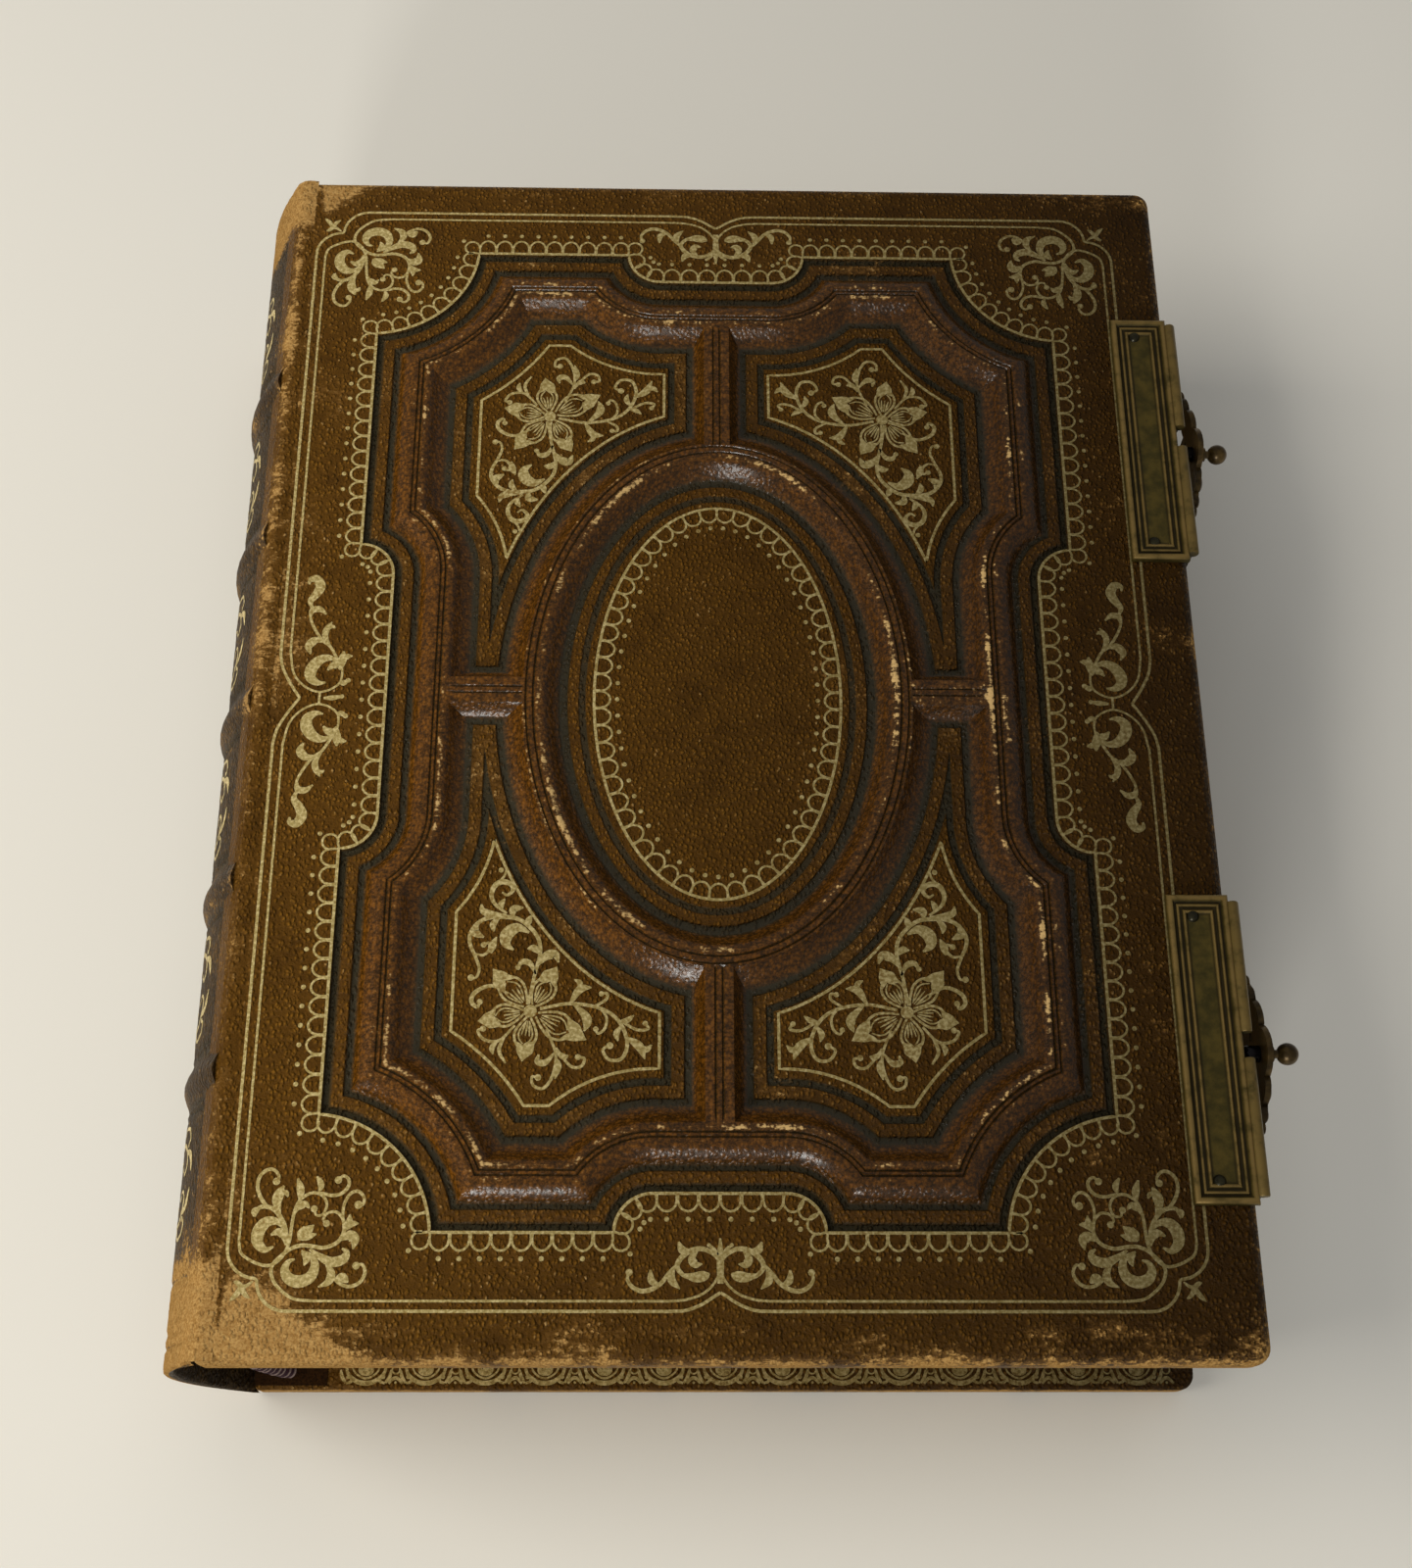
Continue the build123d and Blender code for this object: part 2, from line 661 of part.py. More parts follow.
def all_pieces():
    """Every piece of the album by its node name."""
    face = front_outer + plate_thickness
    face_pins = [Pos(x, y, face) * face_pin() for x, y in pin_places()]
    flush_pins = [Pos(x, y, base_plate_rise) * flush_pin(0) for x, y in pin_places()]
    pieces = {
        "front_board": front_board_shape(),
        "front_pastedown": lining(upper_lining),
        "front_inner_joint": joint_strip(upper_lining),
        "page_block": page_block_shape(),
        "spine_leather": spine_shape(),
        "head_band": end_band(1),
        "tail_band": end_band(-1),
        "back_board": back_board_shape(),
        "back_pastedown": lining(board_thickness),
        "back_inner_joint": joint_strip(board_thickness),
        "catch_plate_pins": at_clasps(Compound(face_pins)),
        "base_plate_pins": at_clasps(Compound(flush_pins)),
    }
    for end, middle in clasp_places.items():
        place = Pos(0, middle, 0)
        pieces["catch_plate_" + end] = place * catch_plate_shape()
        pieces["base_plate_" + end] = place * base_plate_shape()
        pieces["hinge_pin_" + end] = place * hinge_pin_shape()
        pieces["clasp_strap_" + end] = place * strap_shape()
        pieces["pull_knob_" + end] = place * knob_shape()
        pieces["catch_stud_" + end] = place * stud_shape()
    return pieces


os.makedirs("parts", exist_ok=True)
for node, shape in all_pieces().items():
    export_step(shape, "parts/" + node + ".step")
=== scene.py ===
import math
from functools import partial

import bmesh
import bpy
import numpy as np
from mathutils import Matrix, Vector
from mathutils.geometry import delaunay_2d_cdt


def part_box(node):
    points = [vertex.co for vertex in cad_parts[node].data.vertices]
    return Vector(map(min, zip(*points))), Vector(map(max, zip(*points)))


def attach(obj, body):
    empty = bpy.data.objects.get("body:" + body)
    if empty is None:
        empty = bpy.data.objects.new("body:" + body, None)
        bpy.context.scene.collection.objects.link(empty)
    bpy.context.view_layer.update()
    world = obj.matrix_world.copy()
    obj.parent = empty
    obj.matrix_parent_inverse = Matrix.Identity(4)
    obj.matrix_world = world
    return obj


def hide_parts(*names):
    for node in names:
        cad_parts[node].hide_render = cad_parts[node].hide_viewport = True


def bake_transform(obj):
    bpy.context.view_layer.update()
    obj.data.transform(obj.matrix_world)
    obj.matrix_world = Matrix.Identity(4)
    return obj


# An antique photograph album bound in moulded leather. Shapes are worked out in millimetres, in the
# frame's own axes, and turned into metres when a mesh is made.

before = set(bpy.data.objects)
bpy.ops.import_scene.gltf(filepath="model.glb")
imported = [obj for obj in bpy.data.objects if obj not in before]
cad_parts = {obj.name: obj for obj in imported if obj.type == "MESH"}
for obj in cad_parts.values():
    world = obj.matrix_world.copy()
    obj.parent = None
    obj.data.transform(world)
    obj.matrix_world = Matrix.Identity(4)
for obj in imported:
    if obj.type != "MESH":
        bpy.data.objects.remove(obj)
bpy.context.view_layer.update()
MM = 0.001


def node_box(node):
    """Lowest and highest corner of a CAD node, in millimetres."""
    low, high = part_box(node)
    return np.array(low) / MM, np.array(high) / MM


# Sizes read from the frame

board_low, board_high = node_box("back_board")
front_low, front_high = node_box("front_board")
block_low, block_high = node_box("page_block")
spine_low, spine_high = node_box("spine_leather")
joint_x, fore_x = board_low[0], board_high[0]
half_height = board_high[1]

# Sizes of the bindings, in millimetres

RIDGE_HEIGHT = 2.0
BORDER_LEVEL = front_high[2] - RIDGE_HEIGHT
EDGE_ROLL = 3.0
JOINT_ROLL = 1.6
CORNER_ROUND = 3.5
JOINT_CORNER_ROUND = 1.2
LEAST_ROUND = 0.3
INNER_ROLL = 0.8
# How far in from a board's side its rolled edge has rows of points
EDGE_INSETS = (0, 0.12, 0.45, 1.0, 1.7, 2.4, EDGE_ROLL)
# The roll of its inner edge: distance in from its side, height from its inner face
INNER_EDGE = ((0, INNER_ROLL), (0.12, 0.4), (0.35, 0.15), (INNER_ROLL, 0))
CORNER_POINTS = 7
LONG_SIDE_STEPS = 138
SHORT_SIDE_STEPS = 103
BORDER_STEP = 2.0             # between the points that carry the border's wear
BORDER_MARGIN = 4.0
BORDER_CLEAR = 0.8            # from those points to the panel's gold line

# The moulded panel, drawn about its own middle

PANEL_SHIFT = -3.0
PANEL_RISE = 1.7                  # the pressed panel sits nearer the head than its fillet
PANEL_HALF = (79.4, 115.1)
SCOOP_RADIUS = 25.0
SCOOP_SETBACK = 1.9
NOTCH_RADIUS = 7.6
WAIST_HALF = (13.1, 28.5)
OVAL_HALF = (26.8, 46.6)
FRAME_SHOULDER = 13.65
FRAME_FOOT = 17.8
RING_SHOULDER = 15.3
RING_FOOT = 20.0
BAR_TOP = 2.9
BAR_FOOT = 5.7
BAR_GROOVE_PLACE = 0.75
BAR_GROOVE_HALF = 0.3
BAR_GROOVE_SIDES = (BAR_GROOVE_PLACE - BAR_GROOVE_HALF, BAR_GROOVE_PLACE + BAR_GROOVE_HALF)
BAR_OVERLAP = 0.6             # how far a bar's lines run into the frame

# Section of the frame: distance in from its gold line, height over the border, and how much of the
# surface there is dark groove, worn ridge or polished moulding. The grooves' darkness is partly painted
# shade, and the light wear on the flat bands between grooves is partly painted glint on their edges
FRAME_SECTION = [
    (0.0, 0.0, 0, 0, 0), (0.35, -0.05, 0.3, 0, 0), (0.6, -0.85, 1, 0, 0), (1.5, -1.0, 1, 0, 0),
    (1.95, -0.5, 0.6, 0.1, 0.2), (2.3, -0.42, 0, 0.2, 0.2), (4.3, -0.45, 0, 0.1, 0.2),
    (4.65, -0.9, 1, 0, 0.3), (5.5, -1.15, 1, 0, 0.5), (5.9, -1.05, 0.5, 0, 0.8),
    (6.4, -0.3, 0, 0, 1), (7.1, 0.5, 0, 0, 1), (7.9, 1.15, 0, 0, 1),
    (8.8, 1.65, 0, 0.2, 1), (9.6, 1.92, 0, 0.4, 1), (10.1, 1.95, 0, 0.44, 1),
    (10.5, 1.85, 0, 0.3, 1), (10.8, 1.45, 0.9, 0, 1), (11.1, 1.85, 0, 0.2, 1), (11.5, 1.85, 0, 0.2, 1),
    (11.8, 1.45, 0.9, 0, 1), (12.15, 1.9, 0, 0.5, 1), (12.7, 2.0, 0, 0.66, 1), (13.2, 1.92, 0, 0.5, 1),
    (FRAME_SHOULDER, 1.6, 0, 0.2, 1),
]
# Section of the ring: distance out from the oval's gold line, then as above
RING_SECTION = [
    (-0.3, -1.15, 0, 0, 0), (1.7, -1.2, 0, 0.1, 0.1), (2.0, -1.5, 0.9, 0, 0.1), (3.2, -1.5, 0.9, 0, 0.2),
    (3.5, -1.25, 0, 0.1, 0.2), (5.6, -1.3, 0, 0.1, 0.2), (5.9, -1.75, 1, 0, 0.4), (7.5, -1.8, 1, 0, 0.8),
    (8.1, -1.3, 0.2, 0, 1), (9.2, -0.2, 0, 0, 1), (10.1, 0.9, 0, 0, 1), (10.9, 1.6, 0, 0.3, 1),
    (11.5, 1.92, 0, 0.62, 1), (12.1, 2.0, 0, 0.66, 1), (12.7, 1.9, 0, 0.4, 1), (13.0, 1.45, 0.9, 0, 1),
    (13.35, 1.85, 0, 0.2, 1), (14.3, 1.85, 0, 0.2, 1), (14.6, 1.45, 0.9, 0, 1), (14.9, 1.85, 0, 0.4, 1),
    (RING_SHOULDER, 1.8, 0, 0.5, 1),
]
# Section of a bar: distance from its middle line, then as above
BAR_SECTION = [
    (0.0, 1.8, 0, 0.5, 1), (0.4, 1.8, 0, 0.2, 1), (BAR_GROOVE_SIDES[0], 1.8, 0, 0.207, 1),
    (BAR_GROOVE_PLACE, 1.4, 0.9, 0.25, 1), (BAR_GROOVE_SIDES[1], 1.8, 0, 0.293, 1), (1.1, 1.8, 0, 0.3, 1),
    (2.2, 1.8, 0, 0.6, 1), (BAR_TOP, 1.8, 0, 0.2, 1),
]
# The slope down into the spandrels: share of its width, height, groove, wear, polish
SLOPE_SECTION = [
    (0.0, 1.6, 0, 0.2, 1), (0.14, 1.0, 0, 0, 1), (0.3, 0.2, 0, 0, 1), (0.5, -0.6, 0, 0, 1),
    (0.72, -1.3, 0, 0, 1), (0.9, -1.7, 0.5, 0, 1), (1.0, -1.8, 1, 0, 0.8),
]
# The sunk fields, from the foot of the slopes inwards
FIELD_SECTION = [
    (0.0, -1.8, 1, 0, 0.8), (1.1, -1.8, 1, 0, 0.4), (1.45, -1.4, 0.1, 0.2, 0.2), (3.8, -1.4, 0, 0.2, 0.2),
    (4.1, -1.8, 1, 0, 0.2), (5.3, -1.8, 1, 0, 0.2), (5.6, -1.3, 0.1, 0.2, 0), (6.1, -1.22, 0, 0, 0),
    (60.0, -1.22, 0, 0, 0),
]
FRAME_GOLD = 7.3              # the spandrels' gold line, from the foot of the frame
RING_GOLD = 6.2
BAR_GOLD = 6.4

# Gold tooling

TOOL_LIFT = 0.045
TOOL_LAYERS = 17
TOOL_STAGGER = 0.003
FILLET_HALF = (95.0, 128.25)
FILLET_WIDTH = 0.62
INNER_FILLET_WIDTH = 0.5
FINE_WIDTH = 0.48
OUTLINE_WIDTH = 0.62
TOOL_SPREAD = 1.3             # how much wider a hot tool leaves its line
LOOP_PITCH = 4.1
LOOP_HEIGHT = 3.5
LOOP_DOT_HEIGHT = 5.0
LOOP_DOT_RADIUS = 0.52
CORNER_LOOP_RADIUS = 1.7      # the scallop at a sharp corner
CORNER_LOOP_PLACE = 2.3
CORNER_LOOP_HALF_TURN = 2.5   # in radians
CORNER_DOT_PLACE = 5.2
RING_WIDTH = 0.35
SMALL_DOT_SIDES = 8
FLOWER_EYE = (1.35, 18)       # radius and sides
BALL_SPREAD = 1.15


# Colour

def linear(hex_code):
    """An sRGB hex colour as a linear RGBA value."""
    channels = [int(hex_code[i:i + 2], 16) / 255 for i in (1, 3, 5)]
    curve = [c / 12.92 if c <= 0.04045 else ((c + 0.055) / 1.055) ** 2.4 for c in channels]
    return (*curve, 1.0)


def add_node(tree, kind, *values, **named):
    """Adds a shader node and returns its first output. The others are reached through .node.

    Values fill the sockets that are in use, in order. Each named one goes to the property or the socket
    of that name. A value is a number, a vector, a hex colour or another node's output."""
    new = tree.nodes.new("ShaderNode" + kind)
    for name in [name for name in named if hasattr(new, name)]:
        setattr(new, name, named.pop(name))
    filled = list(zip([socket for socket in new.inputs if socket.enabled], values))
    filled += [(new.inputs[name.replace("_", " ")], value) for name, value in named.items()]
    for socket, value in filled:
        if isinstance(value, bpy.types.NodeSocket):
            tree.links.new(value, socket)
        else:
            socket.default_value = linear(value) if isinstance(value, str) else value
    return next((socket for socket in new.outputs if socket.enabled), None)


def new_material(name):
    """A material with an empty tree, and the function that adds nodes to it."""
    material = bpy.data.materials.new(name)
    material.use_nodes = True
    material.node_tree.nodes.clear()
    return material, partial(add_node, material.node_tree)


def surfaced(add, **sockets):
    """Ends a material's tree with its surface shader."""
    add("OutputMaterial", add("BsdfPrincipled", **sockets))


def per_metre(size):
    """A pattern's scale from the real size of one of its cells in millimetres."""
    return 1 / (size * MM)


def weighed(add, start, *patterns):
    """A start value plus several patterns, each times its weight."""
    total = start
    for pattern, weight in patterns:
        total = add("Math", pattern, weight, total, operation="MULTIPLY_ADD")
    return total


# Settings that many nodes share
COLOURS = {"data_type": "RGBA"}
TIMES = {"operation": "MULTIPLY"}
SOFTLY = {"interpolation_type": "SMOOTHSTEP"}

PAINTED_LIGHT_MIDDLE = 0.93            # the painted light's scale on the board's middle line
PAINTED_LIGHT_SLOPE = -5.8             # and its change a metre towards the fore edge: painted light, bright at the spine side
PAINTED_LIGHT_MOST = 1.42


def painted_light_falloff(add, place, colour):
    """A colour with painted light on it: palest at the spine side, growing darker towards the fore edge."""
    strength = weighed(add, PAINTED_LIGHT_MIDDLE, (add("SeparateXYZ", place), PAINTED_LIGHT_SLOPE))
    strength = add("Math", strength, PAINTED_LIGHT_MOST, operation="MINIMUM")
    return add("VectorMath", colour, strength, operation="SCALE")


# Real sizes of the patterns in leather and gold, in millimetres
PEBBLE_SIZE = 0.9             # a little larger than the real ones, so that they show
FIBRE_SIZE = 0.45
SCUFF_SIZE = 0.9
CREASE_SIZE = 0.8
SWIRL_SIZE = 1.5
SWIRL_REACH = 0.8
BLOTCH_SIZE = 8.0
FADING_SIZE = 26.0
GRAIN_DEPTH = 0.7             # deeper than the real grain, whose shading would be lost
LEAF_BREAK_SIZE = 0.7
LEAF_LOSS_SIZE = 14.0
LEAF_DEPTH = 0.2


def leather(name, valley_dye_and_shade, pebble, worn, raw, creased=0.0):
    """Vegetable-tanned goatskin, dampened and pressed with a pebbled grain, then dyed and polished.

    The eye sees small rounded pebbles with dark valleys between them, here and there a pebble rubbed
    pale, glossy red-brown mouldings, and bare orange-tan hide where handling has worn the dye off. The
    colour carries painted light besides the dye: part of the valleys' darkness is painted shade, as is
    the dark of the creases and grooves; pale pebble tops are partly painted glints, the grooves' grey is
    partly a painted reflection, and the whole is brighter at the spine side. The mesh says where it is
    grooved, worn or pressed smooth in the colour attribute "pressing". A noise's values are its scale,
    detail and roughness."""
    material, add = new_material(name)
    place = add("TexCoord").node.outputs["Object"]
    pressing = add("SeparateColor", add("Attribute", attribute_name="pressing"))
    groove, wear, polish = pressing.node.outputs[:3]
    fibres = add("TexNoise", place, per_metre(FIBRE_SIZE), 4.0, 0.65)
    blotches = add("TexNoise", place, per_metre(BLOTCH_SIZE), 5.0, 0.6)
    broad = add("TexNoise", place, per_metre(FADING_SIZE), 3.0, 0.6)
    scuffs = add("TexNoise", add("Mapping", place, Scale=(0.45, 1.0, 1.0)), per_metre(SCUFF_SIZE), 3.0, 0.7)

    # Pebbles, drawn out a little aslant
    swirl = add("TexNoise", place, per_metre(SWIRL_SIZE), 2.0, 0.6).node.outputs["Color"]
    bent = add("VectorMath", swirl, (SWIRL_REACH * MM,) * 3, place, operation="MULTIPLY_ADD")
    drawn_out = add("Mapping", bent, Rotation=(0.0, 0.0, 0.5), Scale=(1.0, 0.72, 1.0))
    pebbles = add("TexVoronoi", drawn_out, per_metre(PEBBLE_SIZE), Randomness=0.9)
    rise = add("MapRange", weighed(add, pebbles, (fibres, 0.5)), 0.88, 0.34, **SOFTLY)
    tone = weighed(add, 0.0, (rise, 0.6), (fibres, 0.5))
    tone = add("Math", tone, add("MapRange", blotches, 0.0, 0.6, **SOFTLY), **TIMES)
    # The valleys between pebbles are coloured darker, partly as painted shade
    dye_and_painted_light = add("Mix", tone, valley_dye_and_shade, pebble, **COLOURS)

    # Single pebbles rubbed pale on their tops, which also stand for glints there: partly wear, partly painted
    # highlight
    lucky = add("MapRange", add("SeparateColor", pebbles.node.outputs["Color"]), 0.86, 0.99, **SOFTLY)
    pale_fleck_and_glint = add("Math", lucky, add("MapRange", rise, 0.5, 0.95, **SOFTLY), **TIMES)
    pale_fleck_and_glint = add("Math", pale_fleck_and_glint, add("MapRange", broad, 0.35, 0.62, **SOFTLY), **TIMES)
    dye_and_painted_light = add("Mix", pale_fleck_and_glint, dye_and_painted_light, "#96784a", **COLOURS)

    # Mouldings polished by the hot press, and dark grooves: partly darkened by the hot tool, partly
    # painted shade and a painted grey reflection
    streaks = weighed(add, 0.0, (fibres, 0.6), (scuffs, 0.45), (rise, 0.15))
    polished = add("Mix", add("MapRange", streaks, 0.4, 0.78, **SOFTLY), "#1c0f01", "#643b07", **COLOURS)
    dye_and_painted_light = add("Mix", add("Math", polish, 0.85, **TIMES), dye_and_painted_light, polished, **COLOURS)
    dye_and_painted_light = add("Mix", add("Math", groove, 0.9, **TIMES), dye_and_painted_light, "#29271c", **COLOURS)
    # Painted light: the colour is brighter at the spine side and darker towards the fore edge
    dye_and_painted_light = painted_light_falloff(add, place, dye_and_painted_light)

    # Creases of a skin that has been bent: bumped, and coloured darker along them as painted shade
    slanted = add("Mapping", add("Mapping", bent, Rotation=(0.6, 0.0, 0.0)), Scale=(1.0, 0.12, 1.0))
    creases = add("TexNoise", slanted, per_metre(CREASE_SIZE), 3.0, 0.6)
    creases = add("Math", add("MapRange", creases, 0.46, 0.6, **SOFTLY), creased, **TIMES)
    dye_and_painted_light = add("Mix", creases, dye_and_painted_light, "#2b2119", **COLOURS)

    # Wear: the dye thins first, and then the hide shows
    swings = ((scuffs, 1.3), (blotches, 1.1), (broad, 1.3), (rise, 0.25))
    middle = sum(weight for _, weight in swings) / 2
    rub = weighed(add, add("Math", wear, middle, operation="SUBTRACT"), *swings)
    thinned = add("Math", add("MapRange", rub, 0.16, 0.6, **SOFTLY), weighed(add, 0.4, (polish, -0.34)),
                  **TIMES)
    thinned = add("Math", thinned, add("MapRange", fibres, 0.25, 0.6, **SOFTLY), **TIMES)
    dye_and_painted_light = add("Mix", thinned, dye_and_painted_light, "#856132", **COLOURS)
    bare = add("MapRange", weighed(add, rub, (polish, -0.1)), 0.5, 0.74, **SOFTLY)
    cleaned = add("MapRange", weighed(add, -0.3, (fibres, 1.0), (scuffs, 0.6)), 0.32, 0.72, **SOFTLY)
    hide = add("Mix", cleaned, raw, worn, **COLOURS)
    hide = add("Mix", add("Math", polish, 0.6, **TIMES), hide, "#c9ab74", **COLOURS)

    height = add("Math", rise, weighed(add, 1.0, (polish, -0.93)), **TIMES)
    height = weighed(add, height, (fibres, weighed(add, 0.4, (polish, -0.37))), (creases, -1.0))
    height = add("Math", height, weighed(add, 1.0, (bare, -0.6)), **TIMES)
    surfaced(
        add,
        Base_Color=add("Mix", bare, dye_and_painted_light, hide, **COLOURS),
        Roughness=weighed(add, 0.4, (polish, -0.24), (bare, 0.25), (fibres, 0.2)),
        Specular_IOR_Level=weighed(add, 0.1, (polish, 0.32), (bare, -0.1)),
        Normal=add("Bump", Strength=1.0, Distance=GRAIN_DEPTH * MM, Height=height),
    )
    return material


def gold_leaf():
    """Gold leaf pressed into the leather with heated tools, then dulled by age.

    The eye sees thin olive-gold lines that sparkle here and there and break where the leaf is lost."""
    material, add = new_material("tooled_gold_leaf")
    place = add("TexCoord").node.outputs["Object"]
    fine = add("TexNoise", place, per_metre(LEAF_BREAK_SIZE), 3.0, 0.6)
    broad = add("TexNoise", place, per_metre(LEAF_LOSS_SIZE), 3.0)
    kept = add("MapRange", weighed(add, fine, (broad, 0.5)), 0.5, 0.7, **SOFTLY)
    tone = add("Mix", add("MapRange", fine, 0.4, 0.7, **SOFTLY), "#968450", "#c6b581", **COLOURS)
    surfaced(
        add,
        # Painted light: the gold is brighter at the spine side and darker towards the fore edge
        Base_Color=painted_light_falloff(add, place, add("Mix", kept, "#6f582c", tone, **COLOURS)),
        Metallic=add("Math", kept, 0.4, **TIMES),
        Roughness=weighed(add, 0.66, (fine, -0.5)),
        Specular_IOR_Level=0.3,
        Normal=add("Bump", Strength=0.7, Distance=LEAF_DEPTH * MM, Height=fine),
    )
    return material


TARNISH_SIZE = 3.5
SPECK_SIZE = 0.6
SPECK_DEPTH = 0.1
HOLLOW_REACH = 1.5


def aged_brass(name, deep, base, bright, rough=0.42):
    """Brass pressed or cast in a mould, lacquered, then rubbed on the ridges, and darker in its grooves.

    The eye sees dull olive metal, darker in the hollows, tan where hands have polished it, with soft
    streaks and small spots of tarnish."""
    material, add = new_material(name)
    place = add("TexCoord").node.outputs["Object"]
    groove, ridge = add("SeparateColor", add("Attribute", attribute_name="pressing")).node.outputs[:2]
    tarnish = add("TexNoise", place, per_metre(TARNISH_SIZE), 6.0, 0.65)
    specks = add("TexNoise", place, per_metre(SPECK_SIZE), 3.0, 0.6)
    openness = add("AmbientOcclusion", samples=6, Distance=HOLLOW_REACH * MM).node.outputs["AO"]
    hollow = add("MapRange", openness, 0.85, 0.3, **SOFTLY)
    tone = add("Mix", add("MapRange", tarnish, 0.35, 0.7, **SOFTLY), deep, base, **COLOURS)
    rubbed = add("Math", ridge, add("MapRange", tarnish, 0.2, 0.55, **SOFTLY), **TIMES)
    tone = add("Mix", rubbed, tone, bright, **COLOURS)
    # Darker in the grooves and where ambient occlusion finds the surface enclosed
    darker_in_hollows = add("Math", groove, 0.75, **TIMES)
    darker_in_hollows = add("Math", hollow, 0.45, darker_in_hollows, operation="MULTIPLY_ADD", use_clamp=True)
    surfaced(
        add,
        Base_Color=add("Mix", darker_in_hollows, tone, "#261e0d", **COLOURS),
        Metallic=0.6,
        Roughness=weighed(add, rough - 0.25, (tarnish, 0.5), (darker_in_hollows, 0.25)),
        Normal=add("Bump", Strength=0.35, Distance=SPECK_DEPTH * MM, Height=specks),
    )
    return material


def plain_material(name, colour, rough, metal=0.0, cell=0.8, depth=0.0, second=None, shine=0.5):
    """A plain finish that turns to its second colour, and rises, with a fine noise of that cell size."""
    material, add = new_material(name)
    noise = add("TexNoise", add("TexCoord").node.outputs["Object"], per_metre(cell), 4.0, 0.6)
    tone = add("Mix", add("MapRange", noise, 0.3, 0.7, **SOFTLY), second or colour, colour, **COLOURS)
    uneven = {"Normal": add("Bump", Strength=0.6, Distance=depth * MM, Height=noise)} if depth else {}
    surfaced(add, Base_Color=tone, Roughness=rough, Metallic=metal, Specular_IOR_Level=shine, **uneven)
    return material


# Meshes

SHARP = 35.0                  # degrees between two faces at which their edge stays sharp
MERGE_REACH = 0.001


def placed(name, data):
    """A new object in the scene."""
    piece = bpy.data.objects.new(name, data)
    bpy.context.scene.collection.objects.link(piece)
    return piece


def make_piece(name, points, faces, material, body, pressing=None, sharp=SHARP, replaces=()):
    """A mesh from points in millimetres, which rides on a body if one is given. Pressing is groove,
    wear and polish."""
    mesh = bpy.data.meshes.new(name)
    mesh.from_pydata((np.asarray(points, float) * MM).tolist(), [], [list(map(int, f)) for f in faces])
    mesh.update()
    mesh.polygons.foreach_set("use_smooth", [True] * len(mesh.polygons))
    mesh.set_sharp_from_angle(angle=math.radians(sharp))
    if pressing is not None:
        colours = np.ones((len(points), 4), np.float32)
        colours[:, :3] = pressing
        attribute = mesh.attributes.new("pressing", "FLOAT_COLOR", "POINT")
        attribute.data.foreach_set("color", colours.ravel())
    mesh.materials.append(material)
    piece = placed(name, mesh)
    if body:
        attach(piece, body)
    if replaces:
        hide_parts(*replaces)
    return piece


def strip_faces(rows, columns, closed=False, first=0):
    """Quads of a grid of points, row after row, whose columns may close into a ring."""
    faces = []
    for row in range(rows - 1):
        for column in range(columns if closed else columns - 1):
            a, b = first + row * columns + column, first + row * columns + (column + 1) % columns
            faces.append((a, b, b + columns, a + columns))
    return faces


def triangulated(loops, loose=()):
    """Triangles over closed loops of plane points, kept as edges, and loose points between them."""
    points, edges = [], []
    for loop in loops:
        first, count = len(points), len(loop)
        points.extend(Vector(p) for p in np.asarray(loop, float))
        edges.extend((first + i, first + (i + 1) % count) for i in range(count))
    points.extend(Vector(p) for p in loose)
    found = delaunay_2d_cdt(points, edges, [], 0, 1e-4)
    return np.array([tuple(p) for p in found[0]]), found[2]


# Outlines

QUARTERS = ((1, 1), (-1, 1), (-1, -1), (1, -1))


def on_circle(centre, radius, angles):
    """Points of a circle at angles in radians."""
    return np.column_stack([centre[0] + radius * np.cos(angles), centre[1] + radius * np.sin(angles)])


def whole_turn(count):
    """Even angles round a circle, in radians."""
    return np.linspace(0, 2 * math.pi, count, endpoint=False)


def quarter_turn(centre, radius, start, count):
    """Points of a round corner, from its first angle in degrees."""
    return on_circle(centre, radius, np.radians(np.linspace(start, start + 90, count)))


def arc(centre, radius, start, finish, step=0.9):
    """Points along an arc between two angles in degrees."""
    count = max(3, int(abs(math.radians(finish - start)) * radius / step) + 1)
    return on_circle(centre, radius, np.radians(np.linspace(start, finish, count)))


def at_height(plane, height):
    """Plane points with a height, or one each."""
    return np.column_stack([plane, np.broadcast_to(height, len(plane))])


def run(start, finish, step=2.0):
    """Points along a straight line."""
    start, finish = np.array(start, float), np.array(finish, float)
    count = max(2, int(np.hypot(*(finish - start)) / step) + 1)
    return start + (finish - start) * np.linspace(0, 1, count)[:, None]


def joined(*stretches):
    """Stretches of points as one line, without the points where they meet twice."""
    line = np.concatenate(stretches)
    keep = np.concatenate([[True], np.hypot(*np.diff(line, axis=0).T) > 0.02])
    return line[keep]


